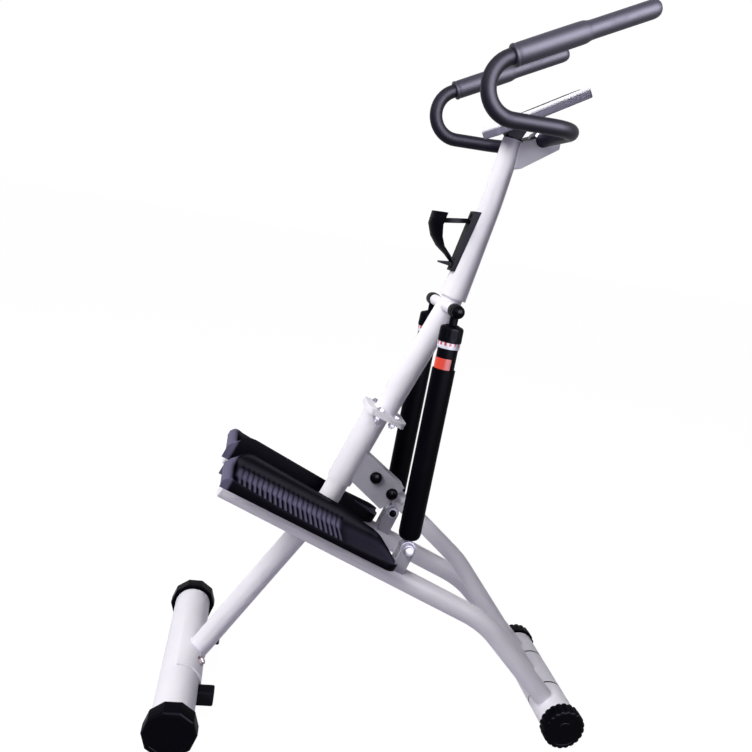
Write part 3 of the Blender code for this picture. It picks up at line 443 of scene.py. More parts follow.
def smoothingGroup(limit):
    group = bpy.data.node_groups.new("joinAndSmooth", "GeometryNodeTree")
    group.interface.new_socket("Geometry", in_out="INPUT", socket_type="NodeSocketGeometry")
    group.interface.new_socket("Geometry", in_out="OUTPUT", socket_type="NodeSocketGeometry")
    make = group.nodes.new
    start, end, join = make("NodeGroupInput"), make("NodeGroupOutput"), make("GeometryNodeMergeByDistance")
    faces, edges = make("GeometryNodeSetShadeSmooth"), make("GeometryNodeSetShadeSmooth")
    angle, sharp = make("GeometryNodeInputMeshEdgeAngle"), make("ShaderNodeMath")
    join.inputs["Distance"].default_value = joinWithin
    faces.domain, edges.domain = "FACE", "EDGE"
    edges.inputs["Shade Smooth"].default_value = False
    sharp.operation = "GREATER_THAN"
    sharp.inputs[1].default_value = math.radians(limit)
    for giver, taker in ((start.outputs[0], join.inputs[0]), (join.outputs[0], faces.inputs[0]),
                         (faces.outputs[0], edges.inputs[0]), (edges.outputs[0], end.inputs[0]),
                         (angle.outputs[0], sharp.inputs[0]),
                         (sharp.outputs[0], edges.inputs["Selection"])):
        group.links.new(giver, taker)
    return group


smoothing = smoothingGroup(creaseAngle)


def dress(name, finish, edge=0.0):
    node = nodes[name]
    mesh = node.data
    for extra in ("custom_normal", "sharp_edge", "sharp_face"):
        if extra in mesh.attributes:
            mesh.attributes.remove(mesh.attributes[extra])
    mesh.materials.clear()
    mesh.materials.append(finish.material)
    if edge:
        weld = node.modifiers.new("weld", "WELD")
        weld.merge_threshold = joinWithin
        softenEdges(node, edge)
        for face in mesh.polygons:
            face.use_smooth = True
    else:
        node.modifiers.new("joinAndSmooth", "NODES").node_group = smoothing


# Weld beads where tubes and plates are joined
beads = {"size": 0.0016, "fineSize": 0.0012, "pitch": 0.0042, "lump": 0.16, "saddleRadius": 0.0411,
         "sleeveRadius": 0.036, "frontLegEnd": (-0.012, 0.008), "flangeHalf": 0.0066, "lift": 0.0004,
         "crossTubeRadius": 0.0105, "crossTubeSteps": 48}


def bead(name, body, points, loop=True, size=beads["size"]):
    total = [0.0]
    for a, b in zip(points, points[1:]):
        total.append(total[-1] + (b - a).length)
    sizes = [size * (1 + beads["lump"] * math.sin(math.tau * run / beads["pitch"])) for run in total]
    addPiece(name, sweep(points, sizes, 8, loop), white, body)


# The line where a leaning tube touches one that lies along Y, and whether that line closes
def tubeOnTube(start, towards, radius, centre, bigRadius, y=0.0, steps=96):
    lead = (Vector(towards) - Vector(start)).normalized()
    across = Vector((-lead[1], lead[0]))
    points = []
    for step in range(steps):
        angle = math.tau * step / steps
        px = start[0] + across.x * radius * math.cos(angle) - centre[0]
        pz = start[1] + across.y * radius * math.cos(angle) - centre[1]
        half = px * lead[0] + pz * lead[1]
        room = half * half - px * px - pz * pz + bigRadius * bigRadius
        run = math.sqrt(max(room, 0.0)) - half
        points.append(spot((px + centre[0] + lead[0] * run, pz + centre[1] + lead[1] * run),
                           y + radius * math.sin(angle)) if room > 0 else None)
    missed = [index for index, point in enumerate(points) if point is None]
    if not missed:
        return points, True
    first = next(index for index in missed if points[(index + 1) % steps])
    return [points[(first + 1 + index) % steps] for index in range(steps - len(missed))], False


def ringAround(place, degrees, radius, offset, steps=64):
    across = tilted(spot(place), degrees - 90)
    turns = [math.tau * k / steps for k in range(steps)]
    return [across @ Vector((-radius * math.cos(turn), radius * math.sin(turn), offset)) for turn in turns]


def addWelds():
    m = machine
    rear, front = (0.0, m["rearAxisZ"]), (m["axleX"], m["axleZ"])
    bead("weld_leg_to_saddle", "stand",
         *tubeOnTube(m["legFoot"], m["legBend"], m["legRadius"], rear, beads["saddleRadius"]))
    legEnd = (m["axleX"] + beads["frontLegEnd"][0], m["axleZ"] + beads["frontLegEnd"][1])
    bead("weld_front_leg", "stand",
         *tubeOnTube(legEnd, m["frontLegBend"], m["frontLegRadius"], front, beads["sleeveRadius"]))
    for name, side in sides.items():
        bead("weld_arm_" + name, "pedal_arm_" + name,
             *tubeOnTube(m["armEnd"], m["armBend"], m["armRadius"], front, beads["sleeveRadius"],
                         side * m["sideY"]))
    for name, radius, way in (("below", m["postRadius"], -1), ("above", m["middleRadius"], 1)):
        bead(f"weld_{name}_flange", "stand",
             ringAround(m["flange"], m["flangeAngle"], radius + beads["lift"], way * beads["flangeHalf"]))
    pivotX, pivotZ = m["topPivot"]
    lean = math.radians(m["flangeAngle"])
    postX = m["flange"][0] + (pivotZ - m["flange"][1]) / math.tan(lean)
    reach, steps = beads["crossTubeRadius"], beads["crossTubeSteps"]
    for name, side in sides.items():
        points = []
        for step in range(steps):
            angle = math.tau * step / steps
            x, z = pivotX + reach * math.cos(angle), pivotZ + reach * math.sin(angle)
            off = (x - postX) * math.sin(lean) - (z - pivotZ) * math.cos(lean)
            points.append(spot((x, z), side * math.sqrt(m["middleRadius"] ** 2 - off * off)))
        bead("weld_cross_tube_" + name, "stand", points, size=beads["fineSize"])


addWelds()
print("welds made")


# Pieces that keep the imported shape: finish, width of the rounded edges, names
def dressPacked():
    for finish, edge, names in (
            (white, 0.0, ("rear_base_tube", "rear_leg", "lower_post", "middle_post", "upper_post",
                          "front_leg", "front_centre_tube", "leg_saddle", "pedal_arm_left",
                          "pedal_arm_right")),
            (greyPlate, edgeWidth["plate"], ("front_bracket", "handlebar_cradle", "clevis_left",
                                             "clevis_right")),
            (steel, 0.0, ("front_axle", "cylinder_axle", "piston_rod_left", "piston_rod_right")),
            (steel, edgeWidth["plate"], ("handlebar_clamp",)),
            (rubber, 0.0, ("rear_bumper_left", "rear_bumper_right")),
            (black, 0.0, ("arm_bush_left", "arm_bush_right", "cylinder_left", "cylinder_right",
                          "clamp_bolt")),
            (black, edgeWidth["moulded"], ("console_bracket", "bottle_cage")),
            (board, 0.0, ("circuit_board",)),
            (glass, 0.0, ("display_window",))):
        for name in names:
            dress(name, finish, edge)


dressPacked()
print("packed pieces dressed")

# Ten-sided rear end caps and ribbed front end caps
rearCap = {"corners": 10, "flat": 0.0447, "bore": 0.0372, "depth": 0.030, "rim": 0.200, "round": 0.003,
           "dish": 0.0012, "edge": 0.0008, "crease": 25.0}
frontCap = {"radius": 0.0417, "bore": 0.0364, "depth": 0.026, "rim": 0.132, "ribs": 20, "valley": 0.0019,
            "crest": 0.42, "slope": 0.34, "bow": 1.5, "crease": 28.0}


def decagonCap():
    bore, depth, dish = rearCap["bore"], rearCap["depth"], rearCap["depth"] - rearCap["dish"]
    corner = rearCap["flat"] / math.cos(math.pi / rearCap["corners"])
    rounded = corner - rearCap["round"]
    return prism(rearCap["corners"], (
        (bore, depth - 0.0075), (bore, 0.0), (corner - 0.0007, 0.0), (corner, 0.0008),
        (corner, depth - 0.0055), (corner - 0.0010, depth - 0.0026), (rounded, depth - 0.0006),
        (rounded - 0.002, depth), (bore, depth), (bore - 0.001, dish), (0.012, dish)))


def ribbedCap():
    radius, bore, depth = frontCap["radius"], frontCap["bore"], frontCap["depth"]
    drop = frontCap["valley"] / radius
    count = frontCap["ribs"] * 8
    turns = [math.tau * k / count for k in range(count)]

    def reach(angle, share):  # flat-topped ribs with round valleys between them
        phase = (angle - math.pi / 2) * frontCap["ribs"] / math.tau % 1.0
        away = min(phase, 1.0 - phase) * 2.0
        fall = max(0.0, min(1.0, (away - frontCap["crest"]) / frontCap["slope"]))
        return 1.0 - share * fall ** frontCap["bow"]

    rings = []
    for size, height, share in (
            (bore, depth - 0.006, 0.0), (bore, 0.0, 0.0), (radius - 0.0008, 0.0, drop),
            (radius, 0.0008, drop), (radius, depth - 0.0042, drop), (radius - 0.0012, depth - 0.0018, drop),
            (radius - 0.0034, depth - 0.0004, drop * 0.6), (radius - 0.0052, depth, 0.0),
            (0.0325, depth, 0.0), (0.0315, depth - 0.0011, 0.0), (0.016, depth - 0.0011, 0.0),
            (0.0150, depth - 0.0002, 0.0), (0.006, depth, 0.0)):
        rings.append([polar(size * reach(turn, share), turn, height) for turn in turns])
    return loft(rings)


def addCaps():
    for name, side in sides.items():
        addPiece("rear_end_cap_" + name, decagonCap(), black, "stand",
                 sideways(spot((0.0, machine["rearAxisZ"]), side * rearCap["rim"]), side),
                 ["rear_cap_" + name], edge=rearCap["edge"], crease=rearCap["crease"])
        addPiece("front_end_cap_" + name, ribbedCap(), black, "stand",
                 sideways(spot((machine["axleX"], machine["axleZ"]), side * frontCap["rim"]), side),
                 ["front_cap_" + name], crease=frontCap["crease"])


addCaps()
print("end caps made")

# Fasteners. Washers: bore, outer radius and thickness; domes, heads and nuts: radius and height
domeCap = {"dome": (0.0118, 0.0165), "face": 0.0108}
bracketBolt = {"places": ((0.313, 0.462), (0.349, 0.433)), "face": 0.0209, "dome": (0.0116, 0.0115)}
saddleBolt = {"angle": 34.0, "y": 0.047, "radius": 0.0414, "washer": (0.004, 0.0098, 0.0014),
              "head": (0.0078, 0.0055)}
flangeBolt = {"places": ((-0.016, -0.033), (0.016, -0.033), (-0.016, 0.033), (0.016, 0.033)),
              "grip": 0.0063, "washer": (0.003, 0.0078, 0.0010), "head": (0.0066, 0.0042),
              "nut": (0.0068, 0.0060), "shankRound": 0.0006,
              "shank": ((0.0, 0.0), (0.0036, 0.0), (0.0036, 0.0092), (0.0, 0.0098))}


def dome(radius, height, steps=48):
    curve = [(radius * math.cos(t), height * (0.32 + 0.68 * math.sin(t)))
             for t in (math.pi / 2 * step / 10 for step in range(10))]
    return lathe([(0.0, 0.0), (radius * 0.84, 0.0), (radius * 0.86, height * 0.08),
                  (radius * 0.97, height * 0.16)] + curve + [(0.0, height)], steps)


def hexHead(reach, height):
    return prism(6, ((reach * 0.96, 0.0), (reach, height * 0.06), (reach, height * 0.80),
                     (reach * 0.90, height * 0.97), (reach * 0.80, height)))


def washer(inner, outer, thick):
    return lathe([(inner, 0.0), (outer - 0.0002, 0.0), (outer, 0.0002), (outer, thick - 0.0002),
                  (outer - 0.0002, thick), (inner, thick)], 32)


def addFasteners():
    m = machine
    for name, side in sides.items():
        place = sideways(spot(m["topPivot"], side * (m["sideY"] + domeCap["face"])), side)
        addPiece("dome_cap_" + name, dome(*domeCap["dome"]), gloss, "stand", place, ["axle_cap_" + name])
    for name, place in zip(("upper", "lower"), bracketBolt["places"]):
        for end, side in sides.items():
            head = addPiece(f"bracket_bolt_{name}_{end}", dome(*bracketBolt["dome"]), gloss, "stand",
                            sideways(spot(place, side * bracketBolt["face"]), side))
            if side == 1:
                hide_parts("bracket_bolt_" + name)
    angle = math.radians(saddleBolt["angle"])
    reach = Vector((math.cos(angle), 0, math.sin(angle)))
    for name, side in sides.items():
        base = spot((0.0, m["rearAxisZ"]), side * saddleBolt["y"]) + reach * saddleBolt["radius"]
        place = axes(base, (0, 1, 0), reach)
        raised = place @ Matrix.Translation((0, 0, saddleBolt["washer"][2]))
        addPiece("saddle_washer_" + name, washer(*saddleBolt["washer"]), darkSteel, "stand", place)
        addPiece("saddle_bolt_head_" + name, hexHead(*saddleBolt["head"]), darkSteel, "stand", raised,
                 ["saddle_bolt_" + name])
    flange = tilted(spot(m["flange"]), m["flangeAngle"] - 90)
    for number, (x, y) in enumerate(flangeBolt["places"], 1):
        top = flange @ Matrix.Translation((x, y, flangeBolt["grip"]))
        low = flange @ Matrix.Translation((x, y, -flangeBolt["grip"])) @ Matrix.Rotation(math.pi, 4, "X")
        raised = top @ Matrix.Translation((0, 0, flangeBolt["washer"][2]))
        shank = lathe(eased(flangeBolt["shank"], flangeBolt["shankRound"]), 20)
        addPiece(f"flange_washer_{number}", washer(*flangeBolt["washer"]), steel, "stand", top)
        addPiece(f"flange_bolt_head_{number}", hexHead(*flangeBolt["head"]), steel, "stand", raised,
                 [f"flange_bolt_{number}"])
        addPiece(f"flange_nut_{number}", hexHead(*flangeBolt["nut"]), steel, "stand", low)
        addPiece(f"flange_shank_{number}", shank, steel, "stand", low)


addFasteners()
print("fasteners made")

# Pedal trays: tables give a height above the pedal line for each place along it
pedal = {
    "outer": 0.057, "inner": 0.042, "foot": 0.0175, "under": 0.0202,
    "wallTop": ((-0.012, 0.0305), (-0.006, 0.0395), (0.000, 0.0455), (0.006, 0.0535), (0.012, 0.0591),
                (0.020, 0.0629), (0.030, 0.0640), (0.120, 0.0600), (0.226, 0.0555), (0.255, 0.0500),
                (0.275, 0.0458), (0.292, 0.0440), (0.311, 0.0395), (0.322, 0.0350), (0.330, 0.0322),
                (0.3376, 0.0290)),
    "lipTop": ((-0.012, 0.0300), (-0.008, 0.0360), (-0.003, 0.0392), (0.004, 0.0390), (0.012, 0.0372),
               (0.100, 0.0315), (0.197, 0.0285), (0.260, 0.0292), (0.320, 0.0310), (0.336, 0.0315)),
    "rim": ((-0.0125, 0.0225), (-0.0118, 0.0288), (-0.0100, 0.0328), (-0.0070, 0.0362), (-0.0030, 0.0378),
            (0.0010, 0.0368), (0.0040, 0.0330), (0.0062, 0.0282), (0.0080, 0.0248), (0.0105, 0.0230),
            (0.3240, 0.0230), (0.3295, 0.0243), (0.3325, 0.0266), (0.3345, 0.0284), (0.3358, 0.0280),
            (0.3370, 0.0262), (0.3376, 0.0230)),
    "innerFoot": ((-0.012, 0.004), (0.284, 0.004), (0.300, 0.0195), (0.3376, 0.0195)),
    "toeStart": 0.296, "toeLength": 0.0416, "toeSweep": 0.068, "cornerStart": 0.318, "cornerSweep": 0.012,
    "ribStart": 0.0145, "ribPitch": 0.0102, "ribCount": 21, "ribHeight": 0.0022, "ribLean": 0.72,
    "ribSteps": 12, "hollow": 0.036, "flatEnd": 0.324, "flatSteps": 34, "crease": 50.0,
    "heelPlaces": (-0.0125, -0.0122, -0.0114, -0.0100, -0.0082, -0.0060, -0.0036, -0.0010, 0.0015, 0.0035,
                   0.0052, 0.0068, 0.0084, 0.0105, 0.0130),
    "toePlaces": (0.3270, 0.3295, 0.3312, 0.3325, 0.3336, 0.3345, 0.3352, 0.3358, 0.3364, 0.3370, 0.3374,
                  0.3376),
}


def between(table, place):
    for (low, lowValue), (high, highValue) in zip(table, table[1:]):
        if place <= high:
            share = max(0.0, (place - low) / (high - low))
            return lowValue + (highValue - lowValue) * share
    return table[-1][1]


def smooth(value):
    value = max(0.0, min(1.0, value))
    return value * value * (3 - 2 * value)


def ribHeight(place):  # saw-toothed ribs
    turn = (place - pedal["ribStart"]) / pedal["ribPitch"]
    if turn < 0 or turn > pedal["ribCount"]:
        return 0.0
    phase = turn % 1.0
    lean = pedal["ribLean"]
    tooth = smooth(phase / lean) if phase < lean else smooth((1.0 - phase) / (1.0 - lean))
    return pedal["ribHeight"] * tooth


def pedalSection(place, side):
    outer, inner, foot, under = -pedal["outer"], pedal["inner"], pedal["foot"], pedal["under"]
    toeEnd = pedal["toeStart"] + pedal["toeLength"]
    if place > pedal["toeStart"]:
        inner -= pedal["toeSweep"] * ((place - pedal["toeStart"]) / pedal["toeLength"]) ** 2.5
    if place > pedal["cornerStart"]:
        share = (place - pedal["cornerStart"]) / (toeEnd - pedal["cornerStart"])
        outer += pedal["cornerSweep"] * share ** 2
    inner = max(inner, outer + 0.0125)
    width = min(1.0, (inner - outer) / 0.060)
    floor = between(pedal["rim"], place)
    lip = max(between(pedal["lipTop"], place), floor + 0.0002)
    wall = max(between(pedal["wallTop"], place), floor + 0.0003)
    innerFoot = min(between(pedal["innerFoot"], place), floor - 0.002)
    under = min(under, floor - 0.0015)
    points = [(outer, foot), (outer, lip - 0.0016), (outer + 0.0003, lip - 0.0006), (outer + 0.0011, lip),
              (outer + 0.0024, lip), (outer + 0.0032, lip - 0.0007)]
    tray = outer + 0.0040
    bowl = inner - 0.0046 * width - 0.0004
    fillet = bowl - pedal["hollow"] * width
    rise = min(0.032, max(wall - floor - 0.001, 0.0001))
    rib = ribHeight(place)
    for step in range(9):
        across = tray + 0.0002 + (fillet - tray - 0.0002) * step / 8
        points.append((across, floor + min(rib * smooth(step / 1.5), lip - floor)))
    for step in range(1, 15):
        angle = math.pi / 2 * step / 14
        high = rib * smooth((0.75 - step / 14) / 0.3)
        points.append((fillet + (bowl - fillet) * math.sin(angle) - high * math.sin(angle),
                       floor + rise * (1 - math.cos(angle)) + high * math.cos(angle)))
    points += [(inner - 0.0036 * width, wall - 0.0009), (inner - 0.0026 * width, wall),
               (inner - 0.0013 * width, wall), (inner - 0.0004, wall - 0.0006), (inner, wall - 0.0018),
               (inner, innerFoot), (inner - 0.0026, innerFoot), (inner - 0.0030, under),
               (outer + 0.0032, under), (outer + 0.0026, foot)]
    return [Vector((place, -side * y, z)) for y, z in points]


# Tray colours: a black base, and a paler colour painted on as highlights
trayLook = {
    "colour": (0.0010, 0.0010, 0.0028), "paintedHighlight": (0.115, 0.105, 0.17), "inside": 0.0527,
    "facing": (0.25, 0.6), "crest": (0.0235, 0.0249), "fade": (0.0275, 0.0370),
    "ribStart": (0.010, 0.016), "ribEnd": (0.222, 0.232), "toeStart": (0.222, 0.245),
    "toeHeight": (0.027, 0.034), "toeShare": 0.22, "heel": (-0.001, 0.004),
}


def trayFinish():  # painted highlight: upward-facing rib crests and toe floor inside the tray, and the whole heel rim, are made paler
    look = trayLook
    made = mouldedPlastic("tray_plastic", look["colour"], 0.42, 0.008, (900.0, 0.00002),
                          "black_gloss_plastic")
    along, across, height = made.parts(made.place())
    facing = made.parts(made.node("TexCoord", output="Normal"))[2]
    # the painted highlight falls only on faces that turn upwards inside the tray
    inside = made.ramp(facing, *look["facing"]) * (abs(across) < look["inside"])
    crest = made.ramp(height, *look["crest"]) * (1 - made.ramp(height, *look["fade"]))
    ribs = crest * made.ramp(along, *look["ribStart"]) * (1 - made.ramp(along, *look["ribEnd"]))
    toe = made.ramp(along, *look["toeStart"]) * (1 - made.ramp(height, *look["toeHeight"]))
    heel = 1 - made.ramp(along, *look["heel"])
    # painted highlight mask: rib crests and toe floor, plus the heel rim below
    paleMask = (ribs + toe * look["toeShare"]) * inside
    share = made.node("Math", {"operation": "ADD", "use_clamp": True}, {0: paleMask, 1: heel})
    base = Wire(made, made.shader.inputs["Base Color"].links[0].from_socket)
    # the painted highlight colour laid over the black base
    made.put("Base Color", made.mix(share, base, look["paintedHighlight"]))
    return made


def addPedals():
    tray = trayFinish()
    step, count = pedal["ribPitch"] / pedal["ribSteps"], pedal["ribCount"] * pedal["ribSteps"]
    places = list(pedal["heelPlaces"])
    places += [pedal["ribStart"] + index * step for index in range(count + 1)]
    last, flat = places[-1], pedal["flatSteps"]
    places += [last + (pedal["flatEnd"] - last) * index / flat for index in range(1, flat + 1)]
    places += pedal["toePlaces"]
    for name, side in sides.items():
        mesh = loft([pedalSection(place, side) for place in places])
        addPiece("pedal_tray_" + name, mesh, tray, "pedal_arm_" + name, pedalLine(side), ["pedal_" + name],
                 crease=pedal["crease"])


def pedalLine(side):
    return tilted(spot(machine["armHeel"], side * machine["sideY"]), -machine["pedalSlope"])


addPedals()
print("pedals made")

# Clevis bolts: a bright domed head outside, a smaller black dome nut inside
clevisBolt = {"face": 0.0157, "head": (0.0092, 0.0100), "nut": (0.0076, 0.0085),
              "washer": (0.004, 0.0102, 0.0012), "pin": (0.004, 0.032)}


def addClevisBolts():
    radius, length = clevisBolt["pin"]
    for name, side in sides.items():
        pin = pedalLine(side) @ Matrix.Translation((machine["pinAlong"], 0, machine["pinAbove"]))
        body = "pedal_arm_" + name
        for end, way in (("outer", 1), ("inner", -1)):
            flip = Matrix.Rotation(-math.pi / 2 * side * way, 4, "X")
            place = pin @ Matrix.Translation((0, side * way * clevisBolt["face"], 0)) @ flip
            addPiece(f"clevis_washer_{end}_{name}", washer(*clevisBolt["washer"]), steel, body, place)
            raised = place @ Matrix.Translation((0, 0, clevisBolt["washer"][2]))
            if way == 1:
                addPiece("clevis_bolt_head_" + name, dome(*clevisBolt["head"]), steel, body, raised,
                         ["clevis_bolt_" + name])
            else:
                addPiece("clevis_nut_" + name, dome(*clevisBolt["nut"]), gloss, body, raised)
        flip = Matrix.Rotation(-math.pi / 2 * side, 4, "X")
        place = pin @ Matrix.Translation((0, -side * length / 2, 0)) @ flip
        shank = lathe([(0.0, 0.0), (radius, 0.0), (radius, length), (0.0, length)], 24)
        addPiece("clevis_pin_" + name, shank, steel, body, place)


addClevisBolts()
print("clevis bolts made")

# Damper cylinders: heights run down from the top pivot
cylinder = {
    "knobRadius": 0.0210, "knobBore": 0.0093, "knobTop": -0.0243, "knobFoot": -0.0547, "flutes": 12,
    "fluteDepth": 0.030, "fluteEdge": 0.55, "ringRadius": 0.0200, "ringBore": 0.0185, "ringFoot": -0.0660,
    "marks": 14, "bodyRadius": 0.0182, "coverRadius": 0.0208, "coverBore": 0.0186, "coverTop": -0.104,
    "coverFoot": -0.4285, "rodBore": 0.0053,
}


def cylinderFrame(side):
    pin = pedalLine(side) @ Vector((machine["pinAlong"], 0, machine["pinAbove"]))
    top = spot(machine["topPivot"], side * machine["sideY"])
    up = (top - pin).normalized()
    return axes(top, (up.z, 0, -up.x), up)


def knobShape(angle, height):  # flutes along the knob's middle
    if not cylinder["knobFoot"] + 0.002 < height < cylinder["knobTop"] - 0.006:
        return 1.0
    wave, edge = math.cos(angle * cylinder["flutes"]), cylinder["fluteEdge"]
    return 1.0 - cylinder["fluteDepth"] * smooth((wave - edge) / (1.0 - edge))


ringLook = {"white": (0.74, 0.74, 0.82), "dirty": (0.58, 0.57, 0.66), "square": (0.55, 0.012, 0.03),
            "squareShare": 0.46, "dirt": 300.0, "dirtEdges": (0.4, 0.8)}


def ringFinish():  # a white ring with a row of red squares
    made = Finish("marked_ring", ringLook["white"], "white_plastic")
    x, y, z = made.parts(made.place())
    angle = made.node("Math", {"operation": "ARCTAN2"}, {0: y, 1: x})
    phase = angle * (cylinder["marks"] / math.tau) % 1.0
    middle = (cylinder["knobFoot"] + cylinder["ringFoot"]) / 2
    squares = (phase < ringLook["squareShare"]) * (z > middle)
    dirt = made.ramp(made.grain(ringLook["dirt"]), *ringLook["dirtEdges"])
    plain = made.mix(dirt * 0.5, ringLook["white"], ringLook["dirty"])
    made.put("Base Color", made.mix(squares, plain, ringLook["square"]))
    made.put("Roughness", 0.30 + 0.15 * dirt)
    return made


def addCylinders():
    c = cylinder
    outer, bore, low, high = c["knobRadius"], c["knobBore"], c["knobFoot"], c["knobTop"]
    knob = [(bore, low), (outer - 0.0010, low), (outer, low + 0.0010), (outer, low + 0.0070),
            (outer - 0.0002, low + 0.0090), (outer - 0.0002, high - 0.0090),
            (outer - 0.0004, high - 0.0070), (outer - 0.0012, high - 0.0048),
            (outer - 0.0030, high - 0.0032), (outer - 0.0085, high - 0.0012), (0.0105, high), (bore, high)]
    outer, bore, low, high = c["ringRadius"], c["ringBore"], c["ringFoot"], low - 0.0003
    ring = [(bore, low), (outer - 0.0003, low), (outer, low + 0.0003), (outer, high - 0.0003),
            (outer - 0.0003, high), (bore, high)]
    outer, bore, low, high = c["coverRadius"], c["coverBore"], c["coverFoot"], c["coverTop"]
    cover = [(bore, high - 0.0010), (0.0192, high), (outer - 0.0005, high), (outer, high - 0.0006),
             (outer, low + 0.0120), (outer - 0.0006, low + 0.0080), (outer - 0.0020, low + 0.0045),
             (outer - 0.0042, low + 0.0020), (outer - 0.0075, low + 0.0005), (0.0090, low),
             (c["rodBore"], low), (c["rodBore"], low + 0.0085), (bore, low + 0.0085)]
    marked = ringFinish()
    for name, side in sides.items():
        place = cylinderFrame(side)
        addPiece("adjuster_knob_" + name, lathe(knob, 96, knobShape), black, "dial_" + name, place,
                 ["dial_" + name])
        addPiece("marked_ring_" + name, lathe(ring, 64), marked, "cylinder_" + name, place,
                 ["scale_ring_" + name])
        addPiece("cover_sleeve_" + name, lathe(cover, 64), sleeveBlack, "rod_" + name, place,
                 ["rod_cover_" + name])
        addPiece("label_" + name, labelMesh(side), orange, "cylinder_" + name, place)


labelPlace = {"top": -0.0835, "bottom": -0.1030, "start": 158.0, "end": 288.0, "steps": 24,
              "thick": 0.00035, "gap": 0.00005}


def labelMesh(side):  # a plain coloured band on the side that faces the rider
    mesh = bmesh.new()
    start, end, steps = labelPlace["start"], labelPlace["end"], labelPlace["steps"]
    turns = [math.radians(start + (end - start) * step / steps) for step in range(steps + 1)]
    inner = cylinder["bodyRadius"] + labelPlace["gap"]
    rows = []
    for radius in (inner, inner + labelPlace["thick"]):
        for height in (labelPlace["bottom"], labelPlace["top"]):
            rows.append([mesh.verts.new(polar(radius, -side * turn, height)) for turn in turns])
    low, high, outerLow, outerHigh = rows
    for step in range(steps):
        after = step + 1
        for a, b in ((low, high), (outerLow, outerHigh), (low, outerLow), (high, outerHigh)):
            mesh.faces.new((a[step], a[after], b[after], b[step]))
    for end in (0, steps):
        mesh.faces.new((low[end], high[end], outerHigh[end], outerLow[end]))
    return mesh


addCylinders()
print("cylinders made")

# Handlebar and its two-step grips
bar = {"radius": 0.0127, "tip": (0.5815, 1.3157), "corner": (0.1926, 1.1094),
       "bends": (0.047, 0.0458, 0.0458, 0.047)}
grip = {"crease": 60.0, "profile": (
    (0.0, 0.0012), (0.0148, 0.0), (0.0170, 0.0004), (0.0177, 0.0014), (0.0178, 0.0046), (0.0173, 0.0054),
    (0.0165, 0.0060), (0.0165, 0.0068), (0.0170, 0.0080), (0.0172, 0.0110), (0.0173, 0.040),
    (0.0173, 0.085), (0.0172, 0.110), (0.0169, 0.1165), (0.0161, 0.1205), (0.0151, 0.1235),
    (0.0147, 0.1265), (0.0145, 0.135), (0.0145, 0.180), (0.0145, 0.228), (0.0142, 0.2325),
    (0.0134, 0.2362), (0.0118, 0.2395), (0.0095, 0.2417), (0.0065, 0.2427), (0.0035, 0.2430),
    (0.0, 0.2431))}


def addHandlebar():
    half = [[spot(bar["tip"], y), spot(bar["corner"], y), spot(machine["barAxis"], y)]
            for y in (-machine["hornY"], machine["hornY"])]
    path = bent(half[0] + half[1][::-1], bar["bends"], 20)
    addPiece("handlebar", sweep(path, bar["radius"], 40), coated, "handlebar", None, ["handlebar_tube"])
    angle = math.radians(machine["gripAngle"])
    along, below = (math.cos(angle), 0, math.sin(angle)), (math.sin(angle), 0, -math.cos(angle))
    for name, side in sides.items():
        place = axes(spot(machine["gripStart"], side * machine["hornY"]), below, along)
        piece = addPiece("soft_grip_" + name, lathe(grip["profile"], 56), vinyl, "handlebar", place,
                         ["grip_" + name], crease=grip["crease"])


addHandlebar()
print("handlebar made")

# Console: window low and high corner; button place along the face, half length and half depth
console = {"half": (0.0905, 0.048), "thick": 0.00975, "split": 0.0024, "corner": 0.008, "crease": 28.0,
           "window": ((-0.015, -0.026), (0.075, 0.026)), "bezel": 0.0045,
           "button": (-0.038, 0.0095, 0.0055), "gap": 0.0004, "cutTop": 0.02}


def faceCut(lowX, highX, lowZ, lowY, highY):  # an oblong that cuts up through the face
    high = console["cutTop"]
    return slab(((lowX, lowZ), (highX, lowZ), (highX, high), (lowX, high)), lowY, highY)


def addConsole():
    c = console
    place = tilted(spot(machine["console"]), machine["consoleAngle"])
    half, thick, split, gap = c["half"], c["thick"], c["split"], c["gap"]
    shell = roundedBox(half, c["corner"], (
        (-thick, 0.0022), (-thick + 0.0003, 0.0010), (-thick + 0.0010, 0.0003), (-thick + 0.0020, 0.0),
        (split - 0.0003, 0.0), (split, 0.0004)))
    addPiece("console_shell", shell, silver, "stand", place, ["console_base"], crease=c["crease"])
    # the upper face in the paler silver copy: painted highlight on the console's top
    face = roundedBox(half, c["corner"], (
        (split + 0.0003, 0.0004), (split + 0.0006, 0.0), (thick - 0.0046, 0.0), (thick - 0.0040, 0.0005),
        (thick - 0.0004, 0.0060), (thick, 0.0072)))
    lid = addPiece("console_face", face, silverPaintedHighlight, "stand", place, ["console_lid"], crease=c["crease"])
    (lowX, lowY), (highX, highY) = c["window"]
    carve(lid, faceCut(lowX, highX, thick - 0.002, lowY, highY), place)
    x, wide, deep = c["button"]
    carve(lid, faceCut(x - wide - gap, x + wide + gap, split, -deep - gap, deep + gap), place)
    lid.data.set_sharp_from_angle(angle=math.radians(c["crease"]))
    rim = roundedBox(((highX - lowX) / 2 + c["bezel"], (highY - lowY) / 2 + c["bezel"]), 0.004,
                     ((0.0, 0.0), (0.0007, 0.0002), (0.0009, 0.0010)))
    bezel = addPiece("window_frame", rim, black, "stand",
                     place @ Matrix.Translation(((lowX + highX) / 2, 0, thick)))
    carve(bezel, faceCut(lowX, highX, -0.002, lowY, highY), place)
    key = roundedBox((wide, deep), 0.0040, (
        (-0.0040, 0.0), (0.0004, 0.0), (0.0011, 0.0003), (0.0014, 0.0010)))
    addPiece("mode_key", key, black, "mode_button", place @ Matrix.Translation((x, 0, thick)),
             ["mode_button"])


addConsole()
print("console made")

# Screws of the bottle cage, on its rear face
cageScrew = {"places": {"upper": (0.4083, 0.9690), "lower": (0.3872, 0.8760)}, "faceAngle": 167.8,
             "dome": (0.0052, 0.0038)}


